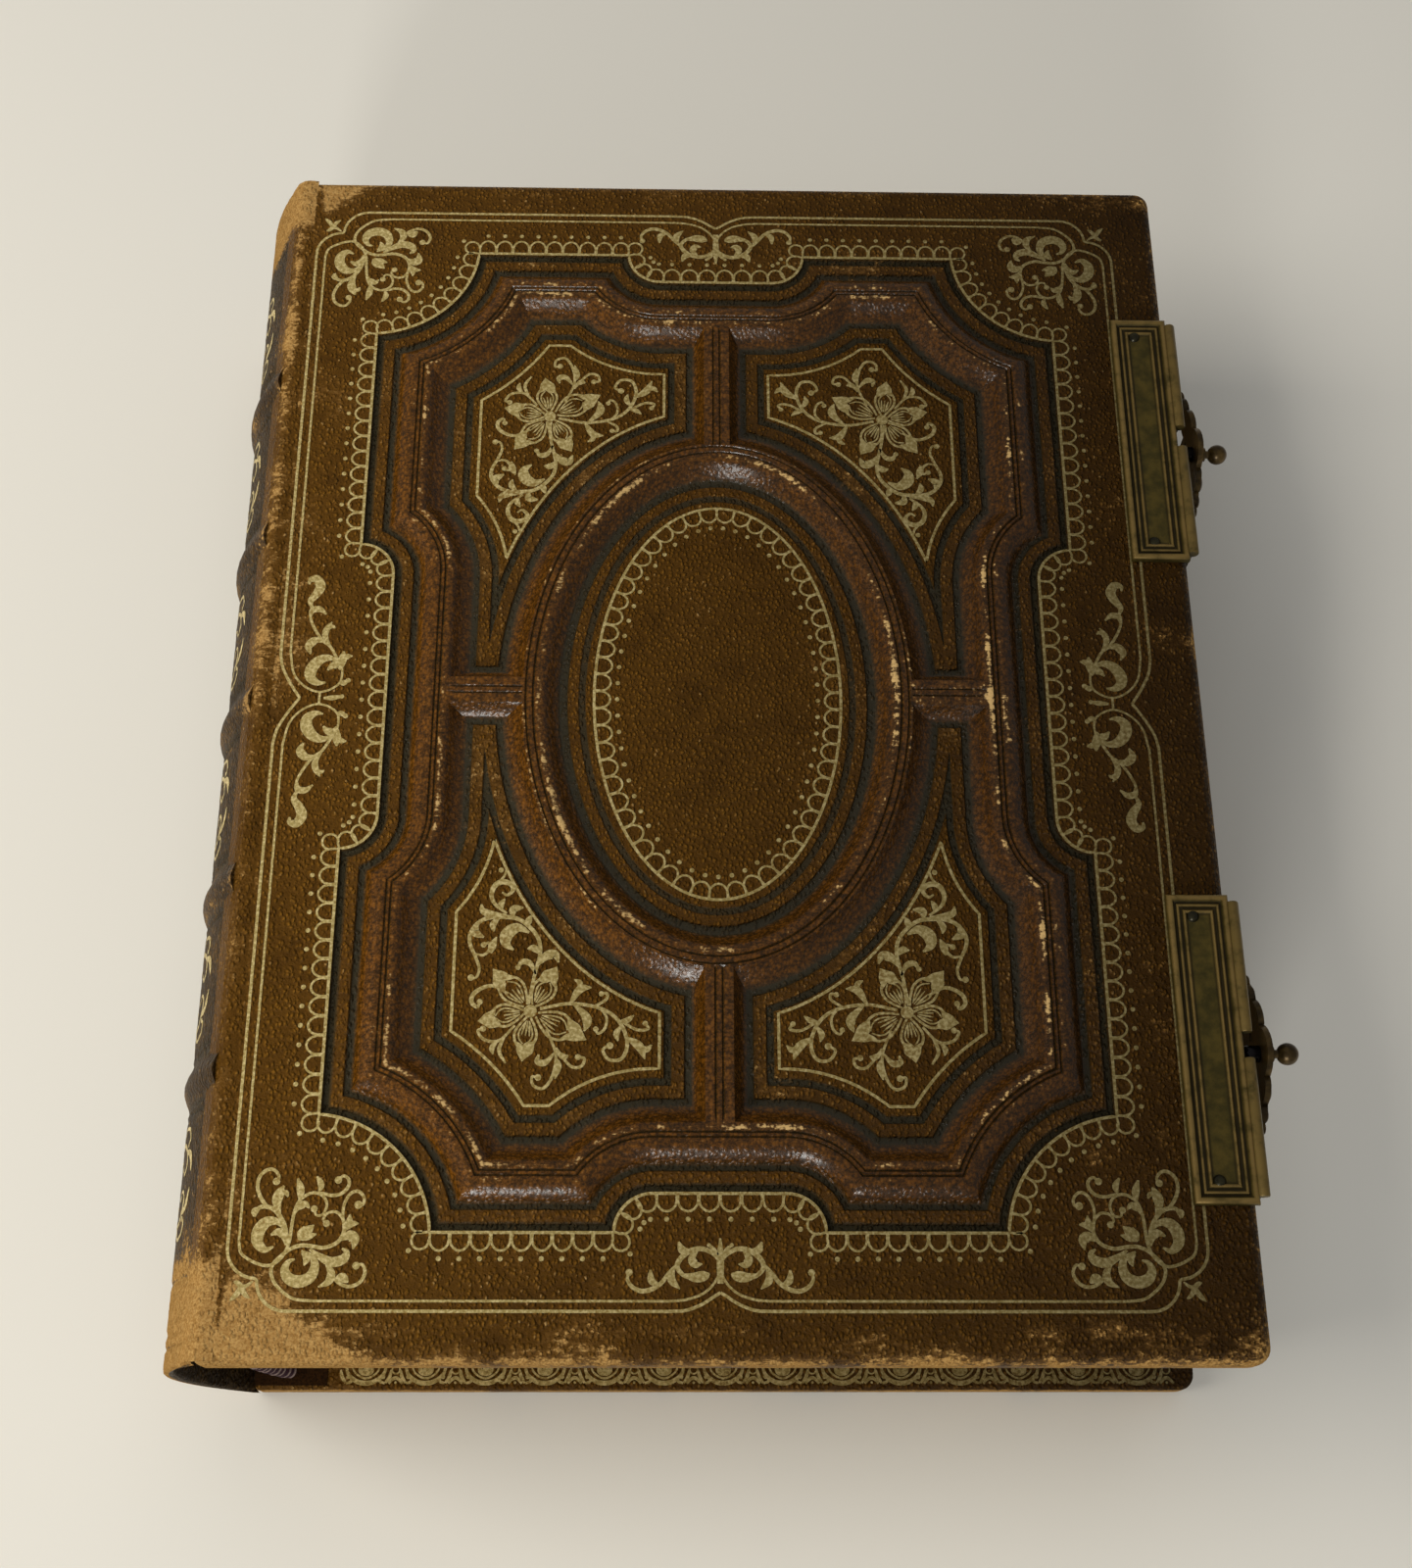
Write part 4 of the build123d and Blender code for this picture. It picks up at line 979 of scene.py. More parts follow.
# Vines of the spray in each corner of the fillet: points from the corner, root, belly, tip, ball
CORNER_SPRAY = [
    ([(2.1, 13), (2.6, 11), (4.0, 9.8), (6.2, 8.8), (8.2, 8.5), (9.8, 9.3), (11, 10.8), (11.8, 13.2),
      (12, 16), (12.4, 19), (13.4, 21.2), (15.6, 22.4), (17.6, 21.8), (18.5, 20.1), (17.9, 18.3),
      (16.6, 18.1), (16.1, 19.3)], 0.42, 0.5, 0.35, 0.6),
    ([(17, 1.9), (13.4, 2.3), (11, 3.8), (9.4, 5.5), (8.7, 7.4), (9.1, 8.9), (10.3, 10.2), (12, 11.6),
      (14, 12.3), (16, 12.2), (18.5, 11.9), (21, 12.9), (22.1, 14.8), (22.1, 16.4), (21.6, 17.7),
      (20.4, 18.7), (18.8, 18.5), (18, 17.3), (18.7, 16.5)], 0.42, 0.6, 0.35, 0.6),
    ([(22.1, 15.5), (21.7, 18.9), (22.1, 20.9), (23.1, 22.4), (24.5, 22.7), (25.6, 21.5), (25.5, 20.2),
      (24.6, 20.1)], 0.4, 0.5, 0.4, 0.7),
    ([(22.3, 15.4), (23, 16.8), (23.1, 18.3)], 0.3, 1.0, 0.2, 0),
    ([(22.3, 15.2), (23.6, 16.4), (24.9, 16.5)], 0.3, 0.9, 0.2, 0),
    ([(21.6, 13.4), (23.2, 14.2), (24.3, 13.4), (24.1, 11.6)], 0.4, 1.7, 0.2, 0),
    ([(16, 22.4), (17.6, 22.3), (19.3, 21.9), (21.2, 22.3), (22.4, 23.6), (22.4, 25), (21.4, 25.7),
      (20.4, 24.9)], 0.4, 0.55, 0.4, 0.65),
    ([(16.8, 22.6), (17.1, 24), (16.2, 25.6)], 0.3, 1.0, 0.3, 0),
    ([(13.2, 21), (13.2, 23), (12.5, 25.2)], 0.4, 1.2, 0.3, 0),
    ([(12.4, 18.4), (12.9, 19.6), (14.3, 20.2), (15.2, 19.4)], 0.3, 1.2, 0.2, 0),
    ([(11.6, 12.6), (11.1, 14.8), (10.3, 16.8), (8.7, 18.9), (6.9, 19.7), (5.3, 19.4), (4.6, 17.8)],
      0.4, 0.7, 0.5, 0),
    ([(5.6, 19.5), (4.7, 18.8), (4.5, 17.8)], 0.3, 1.1, 0.2, 0),
    ([(6.8, 19.8), (5.5, 21.6), (4.8, 23.6), (5.1, 25.6), (6.4, 26.8), (7.8, 26.8), (8.8, 25.6),
      (8.4, 24.6)], 0.6, 0.55, 0.4, 0.65),
    ([(9.6, 18.2), (8.8, 20.6), (9.2, 22.4), (9.9, 23.8)], 0.3, 1.6, 0.3, 0),
    ([(9.4, 22.6), (10.4, 22.4), (10.9, 21.6)], 0.5, 0.8, 0.2, 0),
    ([(10.4, 15.7), (8.9, 16.9), (7, 16.7), (5.7, 15), (5.7, 12.9), (7.2, 11.5), (8.8, 12.1)],
      0.3, 1.9, 0.3, 0),
    ([(11.3, 12.4), (10.7, 14.2), (9.5, 14.9), (8.1, 14.3)], 0.5, 1.3, 0.3, 0),
    ([(14.2, 11.3), (16.2, 10.3), (17, 8.5), (16.3, 6.4), (14.2, 5.5), (12.2, 6.1), (11.3, 7.7),
      (11.9, 9.2), (13.1, 9.7)], 0.3, 1.8, 0.3, 0),
    ([(14.4, 11), (15.3, 9.9), (14.9, 8.5)], 0.4, 1.1, 0.2, 0),
    ([(15.8, 11.6), (17.9, 10.2), (20.2, 9.2), (22.3, 9.7), (22.9, 11), (22, 11.8)], 0.4, 1.5, 0.3, 0),
    ([(18.8, 9.6), (20.2, 7.2), (19.8, 5.5), (17.9, 4.5)], 0.3, 1.3, 0.2, 0),
    ([(20.1, 7.2), (21.6, 5.4), (23.7, 4.6), (25.7, 5.3), (26.7, 7.1), (26.1, 8.7), (24.9, 8.5)],
      0.4, 0.55, 0.4, 0.65),
    ([(21, 5.8), (22.4, 6.2), (23.6, 5.4)], 0.3, 1.5, 0.3, 0),
    ([(13.5, 13.4), (14, 14.6), (14.4, 16)], 0.3, 1.3, 0.2, 0),
    ([(13.6, 13.6), (15, 15), (16.3, 16.2)], 0.3, 1.5, 0.2, 0),
    ([(13.6, 13.4), (15.2, 14), (16.9, 14.5)], 0.3, 1.1, 0.2, 0),
    ([(3.4, 4.4), (2.6, 5.2), (1.8, 5.5)], 0.9, 0.7, 0.2, 0),
    ([(3.4, 4.4), (2.4, 3), (1.3, 1.9)], 0.9, 0.8, 0.2, 0),
    ([(3.4, 4.4), (4, 3.2), (5, 2.4)], 0.9, 0.7, 0.2, 0),
    ([(3.4, 4.4), (4.4, 4.8), (5.4, 5.6)], 0.9, 0.5, 0.2, 0),
]
# Vines beside the middle of each long side: points from the fillet's line and its middle
SIDE_SPRAY = [
    ([(13.2, 7.8), (12.4, 9.2), (10.6, 12.3), (8.8, 13.8), (6.9, 16.6), (5.7, 19.6), (5.9, 22.2)],
      0.5, 0.5, 0.4, 0),
    ([(5.9, 21.8), (5.5, 23.4), (6.8, 25.4), (7.4, 27.2), (6.4, 28.9), (5, 28.6), (4.9, 27.5)],
      0.5, 1.7, 0.3, 0),
    ([(5.7, 19.4), (6.1, 21.1), (7.7, 21.4), (9.2, 20.2)], 0.4, 1.2, 0.3, 0),
    ([(10.8, 11.9), (9.3, 14.9), (9.7, 16.9), (10.6, 18.3)], 0.3, 1.1, 0.2, 0),
    ([(9.5, 16.4), (10.6, 17.2), (11.4, 16.8)], 0.4, 0.7, 0.2, 0),
    ([(9.1, 13.5), (7.2, 13.8), (5.9, 12.3), (6.5, 10.5)], 0.4, 1.5, 0.3, 0),
    ([(12.9, 8.4), (10.7, 9.6), (8.5, 9.0), (6.9, 6.9), (6.9, 4.8), (8.5, 3.6), (10.2, 3.7)],
      0.3, 2.0, 0.3, 0),
    ([(13.4, 6.8), (12.7, 7.9), (11.4, 7.7), (10.4, 6.6)], 0.6, 1.4, 0.3, 0),
    ([(13.3, 7.4), (13.5, 9.4), (13.6, 11.2)], 0.8, 1.4, 0.3, 0),
    ([(13.4, 9), (14.4, 9.9), (15.6, 10.1)], 0.5, 1.0, 0.2, 0),
    ([(13.2, 4), (14, 3.6), (15, 4.2)], 0.5, 1.0, 0.5, 0.5),
]
# The same on its axis
SIDE_LINK = [
    ([(9.1, -1.6), (9.1, 0), (9.1, 1.6)], 0.4, 0.4, 0.4, 0),
    ([(10.0, 0), (12, 0.1), (13.9, 0.4)], 0.4, 0.9, 0.4, 0.45),
]
# Vines over the middle of the head and tail: points from the middle of the fillet's line
END_SPRAY = [
    ([(0, 8.3), (0.6, 10.1), (2.1, 11.3), (3.9, 11.8), (6, 11.3), (7.8, 9.8), (8.3, 8.2), (6.8, 6.6),
      (4.5, 6.3), (2.1, 7)], 0.5, 0.8, 0.3, 0),
    ([(7.4, 6.9), (5, 6.4), (3, 6.7), (2.1, 7.1)], 0.3, 1.6, 0.3, 0),
    ([(8.1, 9), (9.9, 7.2), (11.3, 5.4), (13.1, 4.2), (15.2, 3.8), (17, 4.6), (17.9, 6), (17.6, 7.3)],
      0.5, 0.7, 0.4, 0.6),
    ([(9, 7.8), (9.4, 5.9), (7.8, 4.2)], 0.3, 1.2, 0.2, 0),
    ([(11.9, 4.9), (13.3, 5.8), (13.5, 7.8)], 0.4, 1.1, 0.3, 0),
    ([(5.7, 11.4), (7.3, 11.5), (8.1, 13.1)], 0.4, 1.2, 0.3, 0),
    ([(4.6, 11.4), (5.5, 9.9), (4.8, 8.8), (3.5, 8.9)], 0.5, 1.3, 0.2, 0),
    ([(0.4, 10.6), (1.3, 11.7), (2.2, 12.5)], 0.3, 0.6, 0.3, 0.35),
]
# The same on its axis
END_SPINE = [([(0, 5.2), (0, 9.5), (0, 13.8)], 0.9, 1.1, 0.3, 0)]
FLOWER_PLACE = (38.4, 70.6)
PETALS = [(81, 9.4), (151, 11.6), (10, 9.6), (-50, 10.6), (-121, 9.6)]   # direction in degrees, length
# Vines round each spandrel's flower: points from the flower's middle, outward side first
SPANDREL_SPRAY = [
    ([(3.4, 3.8), (5.4, 8.8), (5, 13), (3.3, 15.8), (1.2, 15.4), (0.8, 13.6), (2, 13.7)],
      0.4, 0.5, 0.4, 0.6),
    ([(5.4, 9.6), (5.9, 11.4), (5.4, 14)], 0.3, 1.2, 0.2, 0),
    ([(5.5, 8.4), (7, 9.4), (8, 9.2)], 0.3, 1.0, 0.2, 0),
    ([(5.4, 7.6), (8.4, 11.3), (10.6, 11.4), (11.2, 9.8), (9.9, 9.5)], 0.4, 0.5, 0.4, 0.55),
    ([(5.2, 8.6), (3.4, 10.6), (1.8, 10.4), (2.0, 9.0)], 0.3, 1.1, 0.3, 0),
    ([(2, -0.5), (8.1, -1.6), (14.3, -0.6), (18, 2), (19.8, 6.3), (18.8, 9.7), (16.2, 10), (14.9, 8),
      (16.3, 7.1)], 0.5, 0.6, 0.4, 0.65),
    ([(19.6, 5.4), (22.2, 7.2), (23.4, 9.9)], 0.4, 1.4, 0.2, 0),
    ([(22, 7), (23.6, 7.9), (24.8, 6.9)], 0.4, 1.0, 0.2, 0),
    ([(18.4, 2), (21.7, 3.8), (24, 3.6), (23.4, 2.5)], 0.4, 0.5, 0.4, 0.5),
    ([(18.6, 3), (17.6, 4.6), (17.9, 6.2)], 0.3, 1.0, 0.2, 0),
    ([(18.4, 2), (19.8, 1.8), (21.1, 0.8)], 0.3, 0.9, 0.2, 0),
    ([(14, -0.9), (15.5, 1.2), (15.2, 3.6), (13.9, 4.6), (13.4, 3.7)], 0.4, 0.45, 0.4, 0.5),
    ([(8.5, -1.8), (11.2, 0.9), (11.6, 2.6), (11, 4.2)], 0.3, 1.5, 0.2, 0),
    ([(8.1, -1.6), (10, -4.6), (12.4, -5)], 0.4, 1.3, 0.2, 0),
    ([(9.9, -4.4), (10, -5.9), (8.8, -6.7)], 0.3, 0.9, 0.2, 0),
    ([(13, -1), (15.4, -2.5), (15.5, -3.8), (14.4, -3.7)], 0.4, 0.5, 0.4, 0.5),
    ([(-4.5, -3.6), (-8, -5.3), (-11.2, -4), (-12, -2), (-10.8, -0.8), (-10.3, -1.9)], 0.4, 0.7, 0.4, 0.55),
    ([(-3, 3), (-6, 6.1), (-9, 6), (-10.4, 4.2), (-9.4, 3.7)], 0.4, 0.5, 0.4, 0.55),
    ([(-5, 5.2), (-6, 8.2), (-4.6, 10.8)], 0.4, 0.6, 0.3, 0),
    ([(-6.4, 6.2), (-7.4, 7.6), (-7.2, 9)], 0.3, 0.9, 0.2, 0),
    ([(-0.4, -1.5), (0.5, -6.8), (1.2, -9.8), (1.7, -12.7), (1.1, -15.6), (-0.8, -18), (-3.1, -19.6),
      (-5.6, -20), (-8.8, -19.9), (-11.2, -18.8), (-12.8, -16.5), (-12.8, -14.2), (-11.6, -11.5),
      (-10.7, -9), (-11.2, -7.1), (-12.3, -7)], 0.5, 0.7, 0.35, 0.6),
    ([(-11.6, -12), (-10, -11.8), (-8.8, -12.9), (-8.9, -14.4), (-10, -14)], 0.35, 0.5, 0.4, 0.55),
    ([(-8.5, -12.2), (-8.2, -13.8), (-7.4, -15.7)], 0.4, 1.3, 0.2, 0),
    ([(-11.4, -18.6), (-11.9, -16.8), (-10, -15.6)], 0.3, 1.5, 0.3, 0),
    ([(-7, -19.8), (-8.2, -18.4), (-8, -16.8)], 0.3, 1.1, 0.2, 0),
    ([(-5.5, -20.3), (-8.5, -20.6), (-10.4, -21.3), (-10.8, -22.8)], 0.5, 1.2, 0.3, 0),
    ([(-5.5, -20.8), (-7.9, -22.7), (-8.8, -24.7), (-8.2, -26.8), (-6.7, -27.7), (-4.9, -27.2),
      (-4.4, -25.9), (-5.5, -24.8), (-6.6, -25.4)], 0.4, 0.9, 0.3, 0),
    ([(-7.3, -27.7), (-6.3, -29), (-6, -30.2)], 0.4, 0.4, 0.3, 0),
    ([(-7.2, -30.3), (-7, -30.3)], 0.3, 0.3, 0.3, 0.5),
    ([(-6.7, -21.5), (-6.7, -22.8), (-6, -24)], 0.5, 1.0, 0.2, 0),
    ([(-0.7, -16.7), (-3.1, -17.7), (-5.2, -16.4), (-5.4, -14.3), (-3.8, -12.9)], 0.4, 2.1, 0.3, 0),
    ([(-4.2, -20), (-4.1, -21.7), (-2.1, -22.1)], 0.4, 1.3, 0.3, 0),
    ([(-1, -18), (-0.9, -19.2), (-0.4, -20.4)], 0.3, 1.1, 0.2, 0),
    ([(1.4, -9.8), (2.9, -11.6), (4.7, -12), (5.5, -10.3)], 0.4, 1.6, 0.3, 0),
    ([(0.9, -7.8), (-0.3, -10), (-1.9, -10.4), (-2.8, -9.2)], 0.3, 1.0, 0.4, 0.5),
    ([(1.7, -12.2), (0.4, -13.3), (-1, -13.2)], 0.4, 1.2, 0.2, 0),
]


def sprays(table):
    """The drawn shapes of a table of vines."""
    drawn = []
    for points, root, belly, tip, ball in table:
        drawn += vine(points, TOOL_SPREAD * root, TOOL_SPREAD * belly, TOOL_SPREAD * tip, BALL_SPREAD * ball)
    return drawn


def petal(direction, length):
    """One double petal with veins and a solid tip that leans over."""
    turned = math.radians(direction)
    along = np.array([math.cos(turned), math.sin(turned)])
    across = np.array([-along[1], along[0]])

    def drawn_to(shares, *widths):
        return vine([along * length * a + across * length * b for a, b in shares], *widths)

    drawn = []
    for side in (-1, 1):
        drawn += drawn_to([(0.14, 0.04 * side), (0.3, 0.15 * side), (0.5, 0.235 * side), (0.68, 0.21 * side),
                           (0.82, 0.1 * side), (0.9, 0.0)], 0.45, 0.55, 0.4)
        drawn += drawn_to([(0.24, 0.04 * side), (0.38, 0.11 * side), (0.52, 0.15 * side), (0.64, 0.12 * side),
                           (0.74, 0.02 * side)], 0.25, 0.35, 0.25)
    drawn += drawn_to([(0.66, 0.21), (0.78, 0.13), (0.92, 0.07), (1.12, 0.03)], 0.5, 2.6, 0.15)
    drawn += drawn_to([(0.72, -0.17), (0.82, -0.07), (0.96, -0.01), (1.1, 0.02)], 0.4, 1.7, 0.15)
    for angle in (-9, 0, 9):
        ray = np.array([math.cos(turned + math.radians(angle)), math.sin(turned + math.radians(angle))])
        drawn += vine([ray * length * 0.22, ray * length * 0.4, ray * length * 0.56], 0.2, 0.4, 0.15)
    return drawn


def flower():
    """A flower of five petals about its eye."""
    drawn = [dot((0, 0), *FLOWER_EYE)]
    for direction, length in PETALS:
        drawn += petal(direction, length)
    return drawn


def front_tooling(material):
    """All the gold tooling of the front cover."""
    gilding = Gilding()
    middle, pressed = np.array([PANEL_SHIFT, 0.0]), np.array([PANEL_SHIFT, PANEL_RISE])
    gilding.add([ribbon(mirrored_loop(panel_quarter(0)), OUTLINE_WIDTH, True)], pressed)
    for signs in QUARTERS:
        gilding.add(panel_border(), pressed, signs)
    oval = mirrored_loop(ellipse_quarter(0, step=0.8))
    gilding.add([ribbon(oval, OUTLINE_WIDTH, True)], pressed)
    gilding.add(looped_border(np.concatenate([oval, oval[:1]]), 1), pressed)
    spandrel = spandrel_loop(FRAME_FOOT + FRAME_GOLD, RING_FOOT + RING_GOLD, BAR_FOOT + BAR_GOLD)
    spray = sprays([([(-x, y) for x, y in points], *widths) for points, *widths in SPANDREL_SPRAY])
    for signs in np.array(QUARTERS):
        gilding.add([ribbon(spandrel, OUTLINE_WIDTH, True)], pressed, signs)
        gilding.add(flower() + spray, pressed + signs * FLOWER_PLACE, signs)
        gilding.add(fillet_lines() + sprays(CORNER_SPRAY), middle + signs * FILLET_HALF, -signs)
    side_place, end_place = np.diag(FILLET_HALF)
    for side in (-1, 1):
        for end in (-1, 1):
            gilding.add(sprays(SIDE_SPRAY), middle + side * side_place, (-side, end))
            gilding.add(sprays(END_SPRAY), middle + end * end_place, (side, -end))
    for end in (-1, 1):
        gilding.add(sprays(END_SPINE), middle + end * end_place, (1, -end))
    for side in (-1, 1):
        gilding.add(sprays(SIDE_LINK), middle + side * side_place, (-side, 1))
    gilding.lay("front_gold_tooling", material, "front_cover", on_cover)


# Camera, light and floor

CAMERA_PLACE = (-14.2, -172.1, 445.8)
CAMERA_TURNS = (22.0, -1.21, 0.37)    # degrees about X, Y and Z
FOCAL_SHARE = 1957 / 1600             # focal length as a share of the picture's height
SENSOR_HEIGHT = 36.0
CLIP_START = 10.0

# Each lamp's name, place, size, power in watts, colour, and whether it shows in what is glossy
LAMPS = (
    ("left_window", (-850, -50, 800), 700, 10.0, "#fff8ec", False),
    ("tail_window", (-300, -1200, 600), 250, 6.8, "#fffdf8", True),
    ("ceiling", (0, 500, 1500), 1200, 4.0, "#ffffff", False),
)
LAMP_TARGET = (0, 0, 30)
ROOM_LIGHT = 0.27
FLOOR_HALF = 30000
FLOOR_DROP = 0.2


def add_camera():
    """The camera that saw the album, fitted to the corners of the gold fillet."""
    camera = bpy.data.cameras.new("camera")
    camera.sensor_fit = "VERTICAL"
    camera.sensor_height = SENSOR_HEIGHT
    camera.lens = FOCAL_SHARE * SENSOR_HEIGHT
    camera.clip_start = CLIP_START * MM
    seat = placed("camera", camera)
    turns = [Matrix.Rotation(math.radians(angle), 4, axis) for angle, axis in zip(CAMERA_TURNS, "XYZ")]
    seat.matrix_world = Matrix.Translation(Vector(CAMERA_PLACE) * MM) @ turns[0] @ turns[1] @ turns[2]
    bpy.context.scene.camera = seat


def add_lamp(name, place, size, power, colour, mirrored):
    """A square soft lamp that faces the album."""
    light = bpy.data.lights.new(name, "AREA")
    light.size = size * MM
    light.energy = power
    light.color = linear(colour)[:3]
    lamp = placed(name, light)
    lamp.location = Vector(place) * MM
    lamp.visible_glossy = mirrored
    lamp.rotation_euler = (Vector(LAMP_TARGET) - Vector(place)).to_track_quat("-Z", "Y").to_euler()


def add_stage():
    """A plain pale floor and soft light from the left, the tail and above."""
    for lamp in LAMPS:
        add_lamp(*lamp)
    world = bpy.data.worlds.new("room")
    bpy.context.scene.world = world
    world.use_nodes = True
    backdrop = world.node_tree.nodes["Background"].inputs
    backdrop["Color"].default_value = linear("#ecebe8")
    backdrop["Strength"].default_value = ROOM_LIGHT
    # Matt paper sheet
    material, add = new_material("pale_floor")
    surfaced(add, Base_Color="#dcdad3", Roughness=0.9)
    mesh = bpy.data.meshes.new("floor")
    corners = [(x * FLOOR_HALF * MM, y * FLOOR_HALF * MM, 0) for x, y in QUARTERS]
    mesh.from_pydata(corners, [], [(0, 1, 2, 3)])
    mesh.materials.append(material)
    floor = placed("floor", mesh)
    floor.location.z = -FLOOR_DROP * MM
    bpy.context.scene.view_settings.view_transform = "Standard"


# Spine

SPINE_SHELL = 2.4
SPINE_EDGE = 1.4
SPINE_CAP = 0.9
BAND_PITCH = 40.5
LAST_BAND = 2                     # bands counted from the middle one
BAND_HALF = 3.9
BAND_HEIGHT = 1.3
BAND_LINES = (5.0, 6.9)           # blind lines beside a band, from its middle
END_LINES = (4.7, 7.2, 17.0)      # the same near the head and tail
BLIND_HALF = 0.45
BLIND_DEPTH = 0.4
SPINE_POINTS = 56
SPINE_STEP = 0.75
SPINE_FIRST_STEP = 1.5
# The turned-in ends of the spine: distance in from its end, and how much lower the leather lies there
SPINE_END = ((0.0, SPINE_CAP), (0.12, 0.45), (0.35, 0.15), (SPINE_CAP, 0.0))
BAND_RUB = (2.6, 0.26)            # wear at a band's foot: reach and strength
BAND_RUB_PLACE = 2.0
SPINE_RUB = 0.22
SHOULDER_WEAR = (3.2, 0.62)

spine_back = spine_high[0]
spine_chord = (spine_high[2] - spine_low[2]) / 2
spine_middle = (spine_high[2] + spine_low[2]) / 2
spine_bulge = spine_back - spine_low[0] - BAND_HEIGHT


def bow(chord, bulge):
    """Radius and half angle of an arc with that half chord and bulge."""
    radius = (chord ** 2 + bulge ** 2) / (2 * bulge)
    return radius, math.asin(chord / radius)


SPINE_RADIUS, SPINE_ANGLE = bow(spine_chord, spine_bulge)
SPINE_REACH = SPINE_RADIUS * SPINE_ANGLE


def on_spine(along, y, lift):
    """A point on the spine's arc, from the distance along it towards the front board."""
    angle = np.asarray(along) / SPINE_RADIUS
    radius = SPINE_RADIUS + lift
    centre = spine_back - spine_bulge + SPINE_RADIUS
    x, z = centre - radius * np.cos(angle), spine_middle + radius * np.sin(angle)
    return np.column_stack([x, y + 0 * angle, z])


def spine_relief(along, y):
    """Rise, groove, wear and polish of the spine's leather."""
    band = np.clip(np.round(y / BAND_PITCH), -LAST_BAND, LAST_BAND) * BAND_PITCH
    off = np.abs(y - band)
    rise = BAND_HEIGHT * np.cos(np.clip(off / BAND_HALF, 0, 1) * math.pi / 2) ** 1.4
    from_lines = [off - offset for offset in BAND_LINES]
    from_lines += [half_height - np.abs(y) - inset for inset in END_LINES]
    blind = np.maximum.reduce([bell(distance, BLIND_HALF) for distance in from_lines])
    ripple = np.sin(1.9 * along + 1.3 * y + 1.7 * np.sin(0.31 * y)) * np.sin(0.83 * y + 0.6 * along)
    to_front = SPINE_REACH - along
    rise = rise - BLIND_DEPTH * blind + 0.05 * ripple
    ends = end_wear(2 * np.sin(0.2 * along) - 1, y)
    shoulder = bell(to_front, *SHOULDER_WEAR) * (1 + 0.3 * np.sin(0.11 * y + 1))
    rubbed = SPINE_RUB + bell(off - BAND_RUB_PLACE, *BAND_RUB)
    wear = np.maximum.reduce([ends, shoulder, rubbed * np.clip(to_front / 20, 0.4, 1)])
    return np.column_stack([rise, 0.9 * blind, wear * (1 - 0.6 * blind), bell(off, BAND_HALF, 0.15)])


def spine(material):
    """The hollow back of tooled leather, turned in at head and tail."""
    along = np.linspace(-SPINE_REACH, SPINE_REACH, SPINE_POINTS)
    inner_radius, inner_angle = bow(spine_chord - SPINE_EDGE, spine_bulge - SPINE_SHELL)
    inner_centre = spine_back - spine_bulge + SPINE_SHELL + inner_radius
    turned = np.linspace(inner_angle, -inner_angle, len(along))
    rows = [(-half_height + step, shrink) for step, shrink in SPINE_END]
    last = half_height - SPINE_FIRST_STEP + SPINE_STEP / 8
    rows += [(y, 0.0) for y in np.arange(-half_height + SPINE_FIRST_STEP, last, SPINE_STEP)]
    rows += [(half_height - step, shrink) for step, shrink in SPINE_END[::-1]]
    points, pressing = [], []
    for y, shrink in rows:
        shape = spine_relief(along, np.full(len(along), y))
        points.append(on_spine(along, y, shape[:, 0] - shrink))
        radius = inner_radius + min(shrink, SPINE_EDGE / 2)
        x, z = inner_centre - radius * np.cos(turned), spine_middle + radius * np.sin(turned)
        points.append(np.column_stack([x, np.full(len(x), y), z]))
        pressing += [shape[:, 1:], np.zeros((len(turned), 3))]
    count = len(along)
    faces = strip_faces(len(rows), 2 * count, True)
    last = (len(rows) - 1) * 2 * count
    for i in range(count - 1):
        j, k = 2 * count - 1 - i, 2 * count - 2 - i
        faces += [(i + 1, i, j, k), (last + i, last + i + 1, last + k, last + j)]
    piece = make_piece(
        "tooled_spine", np.concatenate(points), faces, material, "book_block",
        np.concatenate(pressing), replaces=["spine_leather"],
    )
    return merged(piece)


# Vines of a spine compartment's corner: points from its middle, root, belly, tip, ball
COMPARTMENT_SPRAY = [
    ([(6, 2.2), (10, 6.4), (15.5, 8.4), (20.5, 6.6), (22, 3.4), (20, 1.6), (18.4, 3)], 0.5, 0.7, 0.4, 0.6),
    ([(10, 6.4), (9.6, 9), (12.4, 10.6)], 0.4, 1.4, 0.3, 0),
    ([(15.5, 8.4), (18, 11), (22, 10.6), (23.4, 8.4), (22, 7.4)], 0.4, 0.6, 0.4, 0.5),
    ([(12, 7.2), (13.4, 4.8), (16, 4.6)], 0.4, 1.3, 0.3, 0),
    ([(3, 5.6), (5.4, 9.4), (3.4, 11.8), (1.4, 10.4)], 0.4, 0.6, 0.4, 0.5),
    ([(20.5, 6.4), (24.5, 5), (26, 1.6)], 0.4, 1.2, 0.3, 0),
]
END_COMPARTMENT = 101.5
COMPARTMENTS = (-END_COMPARTMENT, *(share * BAND_PITCH for share in (-1.5, -0.5, 0.5, 1.5)), END_COMPARTMENT)


def on_spine_leather(along, y, lift):
    """Points on the spine's leather, lifted off it."""
    return on_spine(along, y, spine_relief(along, y)[:, 0] + lift)


def spine_tooling(material):
    """A flower with a spray in each corner, in every compartment of the spine."""
    gilding = Gilding()
    for middle in COMPARTMENTS:
        gilding.add(flower(), (0, middle))
        for signs in QUARTERS:
            gilding.add(sprays(COMPARTMENT_SPRAY), (0, middle), signs)
    gilding.lay("spine_gold_tooling", material, "book_block", on_spine_leather)


# Leather over the joints

JOINT_SKIN = 0.3
JOINT_STEP = 1.2
JOINT_SETBACK = 0.6               # of the strip's ends from those of the boards
HINGE_OFFSET = 0.3                # from the boards' edge out to the hinge's axis
